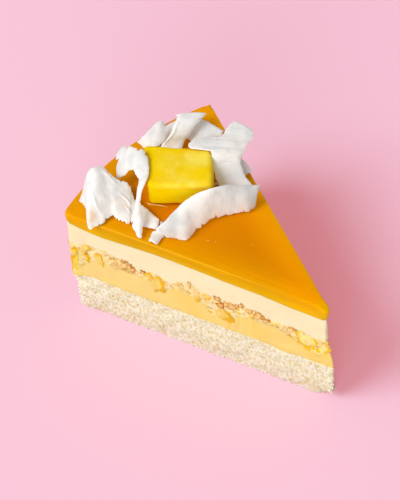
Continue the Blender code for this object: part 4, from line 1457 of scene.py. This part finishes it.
# Painted light and shade: each strip's light tone makes it whiter or greyer along its length, and whiter
# along its thin side edges.
coconut_colour = tinted(coconut_finish, 1.0, coconut_colour, stored_in(coconut_finish, "light_tone"))
skin_share = stored_in(coconut_finish, "skin")
set_base(coconut_finish, mix_colours(coconut_finish, skin_share, coconut_colour, COCONUT_SKIN))
set_bump(coconut_finish, (fibres, 0.035 * MM), (noise_in(coconut_finish, 0.5 * MM, detail=4.0), 0.03 * MM))
for seed, (node, strip) in enumerate(SHAVINGS.items()):
    shaving = add_shaving(node, strip, seed * 17.3)
    shaving.data.materials.append(coconut_finish)
    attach(shaving, "root")
    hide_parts(node)

# Coconut flecks
# Crumbs of coconut that fell from the shavings and lie on the jelly between them.
# Each is (x, y, half its length) in mm.
FLECKS = (
    (-15.6, -14.1, 0.8), (-14.6, 10.4, 0.7), (-19.9, -20.8, 0.3), (-15.2, -15.4, 0.4), (-31.0, -19.0, 0.3),
    (1.2, -8.0, 0.16), (3.4, -6.6, 0.14), (-39.0, -27.5, 0.2), (-27.5, 22.0, 0.25),
)
draw = random.Random(53)
flecks = []
for x, y, half in FLECKS:
    turn = Matrix.Rotation(draw.uniform(0, math.pi), 3, "Z")
    shape = Vector((1.0, 0.6, 0.45)) * half * MM
    middle = Vector((x, y, JELLY_TOP + half * 0.3)) * MM
    fleck = lumpy(small_ball, shape, turn, lump=1.0, seed=draw.uniform(0, 90))
    flecks.append([middle + point for point in fleck])
fleck_piece = join_bits("coconut_flecks", flecks, small_faces)
fleck_finish = add_material("coconut fleck", Base_Color=(0.84, 0.76, 0.64, 1.0), Roughness=0.6)
fleck_piece.data.materials.append(fleck_finish)
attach(fleck_piece, "root")

# Floor
# The slice stands on a plain, pale pink surface. Pink light wells up in it, so its shadows stay warm, and
# none of it is thrown back on the slice.
FLOOR_SIZE = 6.0
FLOOR_GAP = 0.05 * MM
FLOOR_COLOUR = (0.505, 0.549, 0.68, 1.0)
FLOOR_GLOW = (1.0, 0.0, 0.0, 1.0)
FLOOR_GLOW_STRENGTH = 0.427
bpy.ops.mesh.primitive_plane_add(size=FLOOR_SIZE, location=(0.0, 0.0, -FLOOR_GAP))
floor = bpy.context.active_object
floor.name = "floor"
select_only(floor)
bpy.ops.object.transform_apply(location=True, rotation=True, scale=True)
floor_finish = add_material(
    "pale pink surface",
    Base_Color=FLOOR_COLOUR,
    Roughness=0.9,
    Specular_IOR_Level=0.0,
    Emission_Color=FLOOR_GLOW,
    Emission_Strength=FLOOR_GLOW_STRENGTH,
)
floor.data.materials.append(floor_finish)
floor.visible_diffuse = False

# Light
# One large soft box at the left and a little to the front lights the slice. A weak one at the front and a
# pale room fill the shadows.
CAMERA_SIDE = math.radians(52.537)
LIGHT_TURN = math.radians(15)
LIGHT_HEIGHT = math.radians(47.5)
LIGHT_POWER = 178.0
FILL_TURN = math.radians(75)
FILL_HEIGHT = math.radians(16)
FILL_POWER = 111.0
FILL_COLOUR = (1.0, 0.975, 0.95)
BOX_DISTANCE = 5.0
BOX_SIZE = 3.2
BOX_TARGET = Vector((0.0, 0.0, 30 * MM))
ROOM_LIGHT = 0.44


def add_soft_box(name, turn, height, power, colour=WHITE):
    """A round soft box, turned this far from the camera's left towards the front, aimed at the slice."""
    data = bpy.data.lights.new(name, "AREA")
    data.shape = "DISK"
    data.size = BOX_SIZE
    data.energy = power
    data.color = colour
    box = bpy.data.objects.new(name, data)
    bpy.context.scene.collection.objects.link(box)
    way = CAMERA_SIDE - math.pi + turn
    level = Vector((math.cos(way), math.sin(way), 0.0)) * math.cos(height)
    box.location = (level + Vector((0.0, 0.0, math.sin(height)))) * BOX_DISTANCE
    box.rotation_euler = (BOX_TARGET - box.location).to_track_quat("-Z", "Y").to_euler()


add_soft_box("soft box", LIGHT_TURN, LIGHT_HEIGHT, LIGHT_POWER)
add_soft_box("fill box", FILL_TURN, FILL_HEIGHT, FILL_POWER, FILL_COLOUR)
room = bpy.data.worlds.new("pale room")
room.use_nodes = True
room.node_tree.nodes["Background"].inputs["Color"].default_value = (*WHITE, 1.0)
room.node_tree.nodes["Background"].inputs["Strength"].default_value = ROOM_LIGHT
bpy.context.scene.world = room
bpy.context.scene.view_settings.view_transform = "Standard"

# Camera
# It looks down on the front cut from the tip's side, a little rolled, as a hand holds it.
# Its place and lens were fitted to the slice's corners in the photograph.
CAMERA_HEIGHT = math.radians(52.066)
CAMERA_ROLL = math.radians(-6.738)
CAMERA_DISTANCE = 0.7208
CAMERA_TARGET = Vector((-13.9, -0.28, 26.0)) * MM
CAMERA_LENS = 148.42
CAMERA_NEAREST = 0.01
back = Vector((
    math.sin(CAMERA_SIDE) * math.cos(CAMERA_HEIGHT),
    -math.cos(CAMERA_SIDE) * math.cos(CAMERA_HEIGHT),
    math.sin(CAMERA_HEIGHT),
))
right = Vector((math.cos(CAMERA_SIDE), math.sin(CAMERA_SIDE), 0.0))
view = Matrix((right, back.cross(right), back)).transposed().to_4x4()
view = view @ Matrix.Rotation(CAMERA_ROLL, 4, "Z")
view.translation = CAMERA_TARGET + back * CAMERA_DISTANCE
camera_data = bpy.data.cameras.new("camera")
camera_data.lens = CAMERA_LENS
camera_data.clip_start = CAMERA_NEAREST
camera = bpy.data.objects.new("camera", camera_data)
bpy.context.scene.collection.objects.link(camera)
camera.matrix_world = view
bpy.context.scene.camera = camera
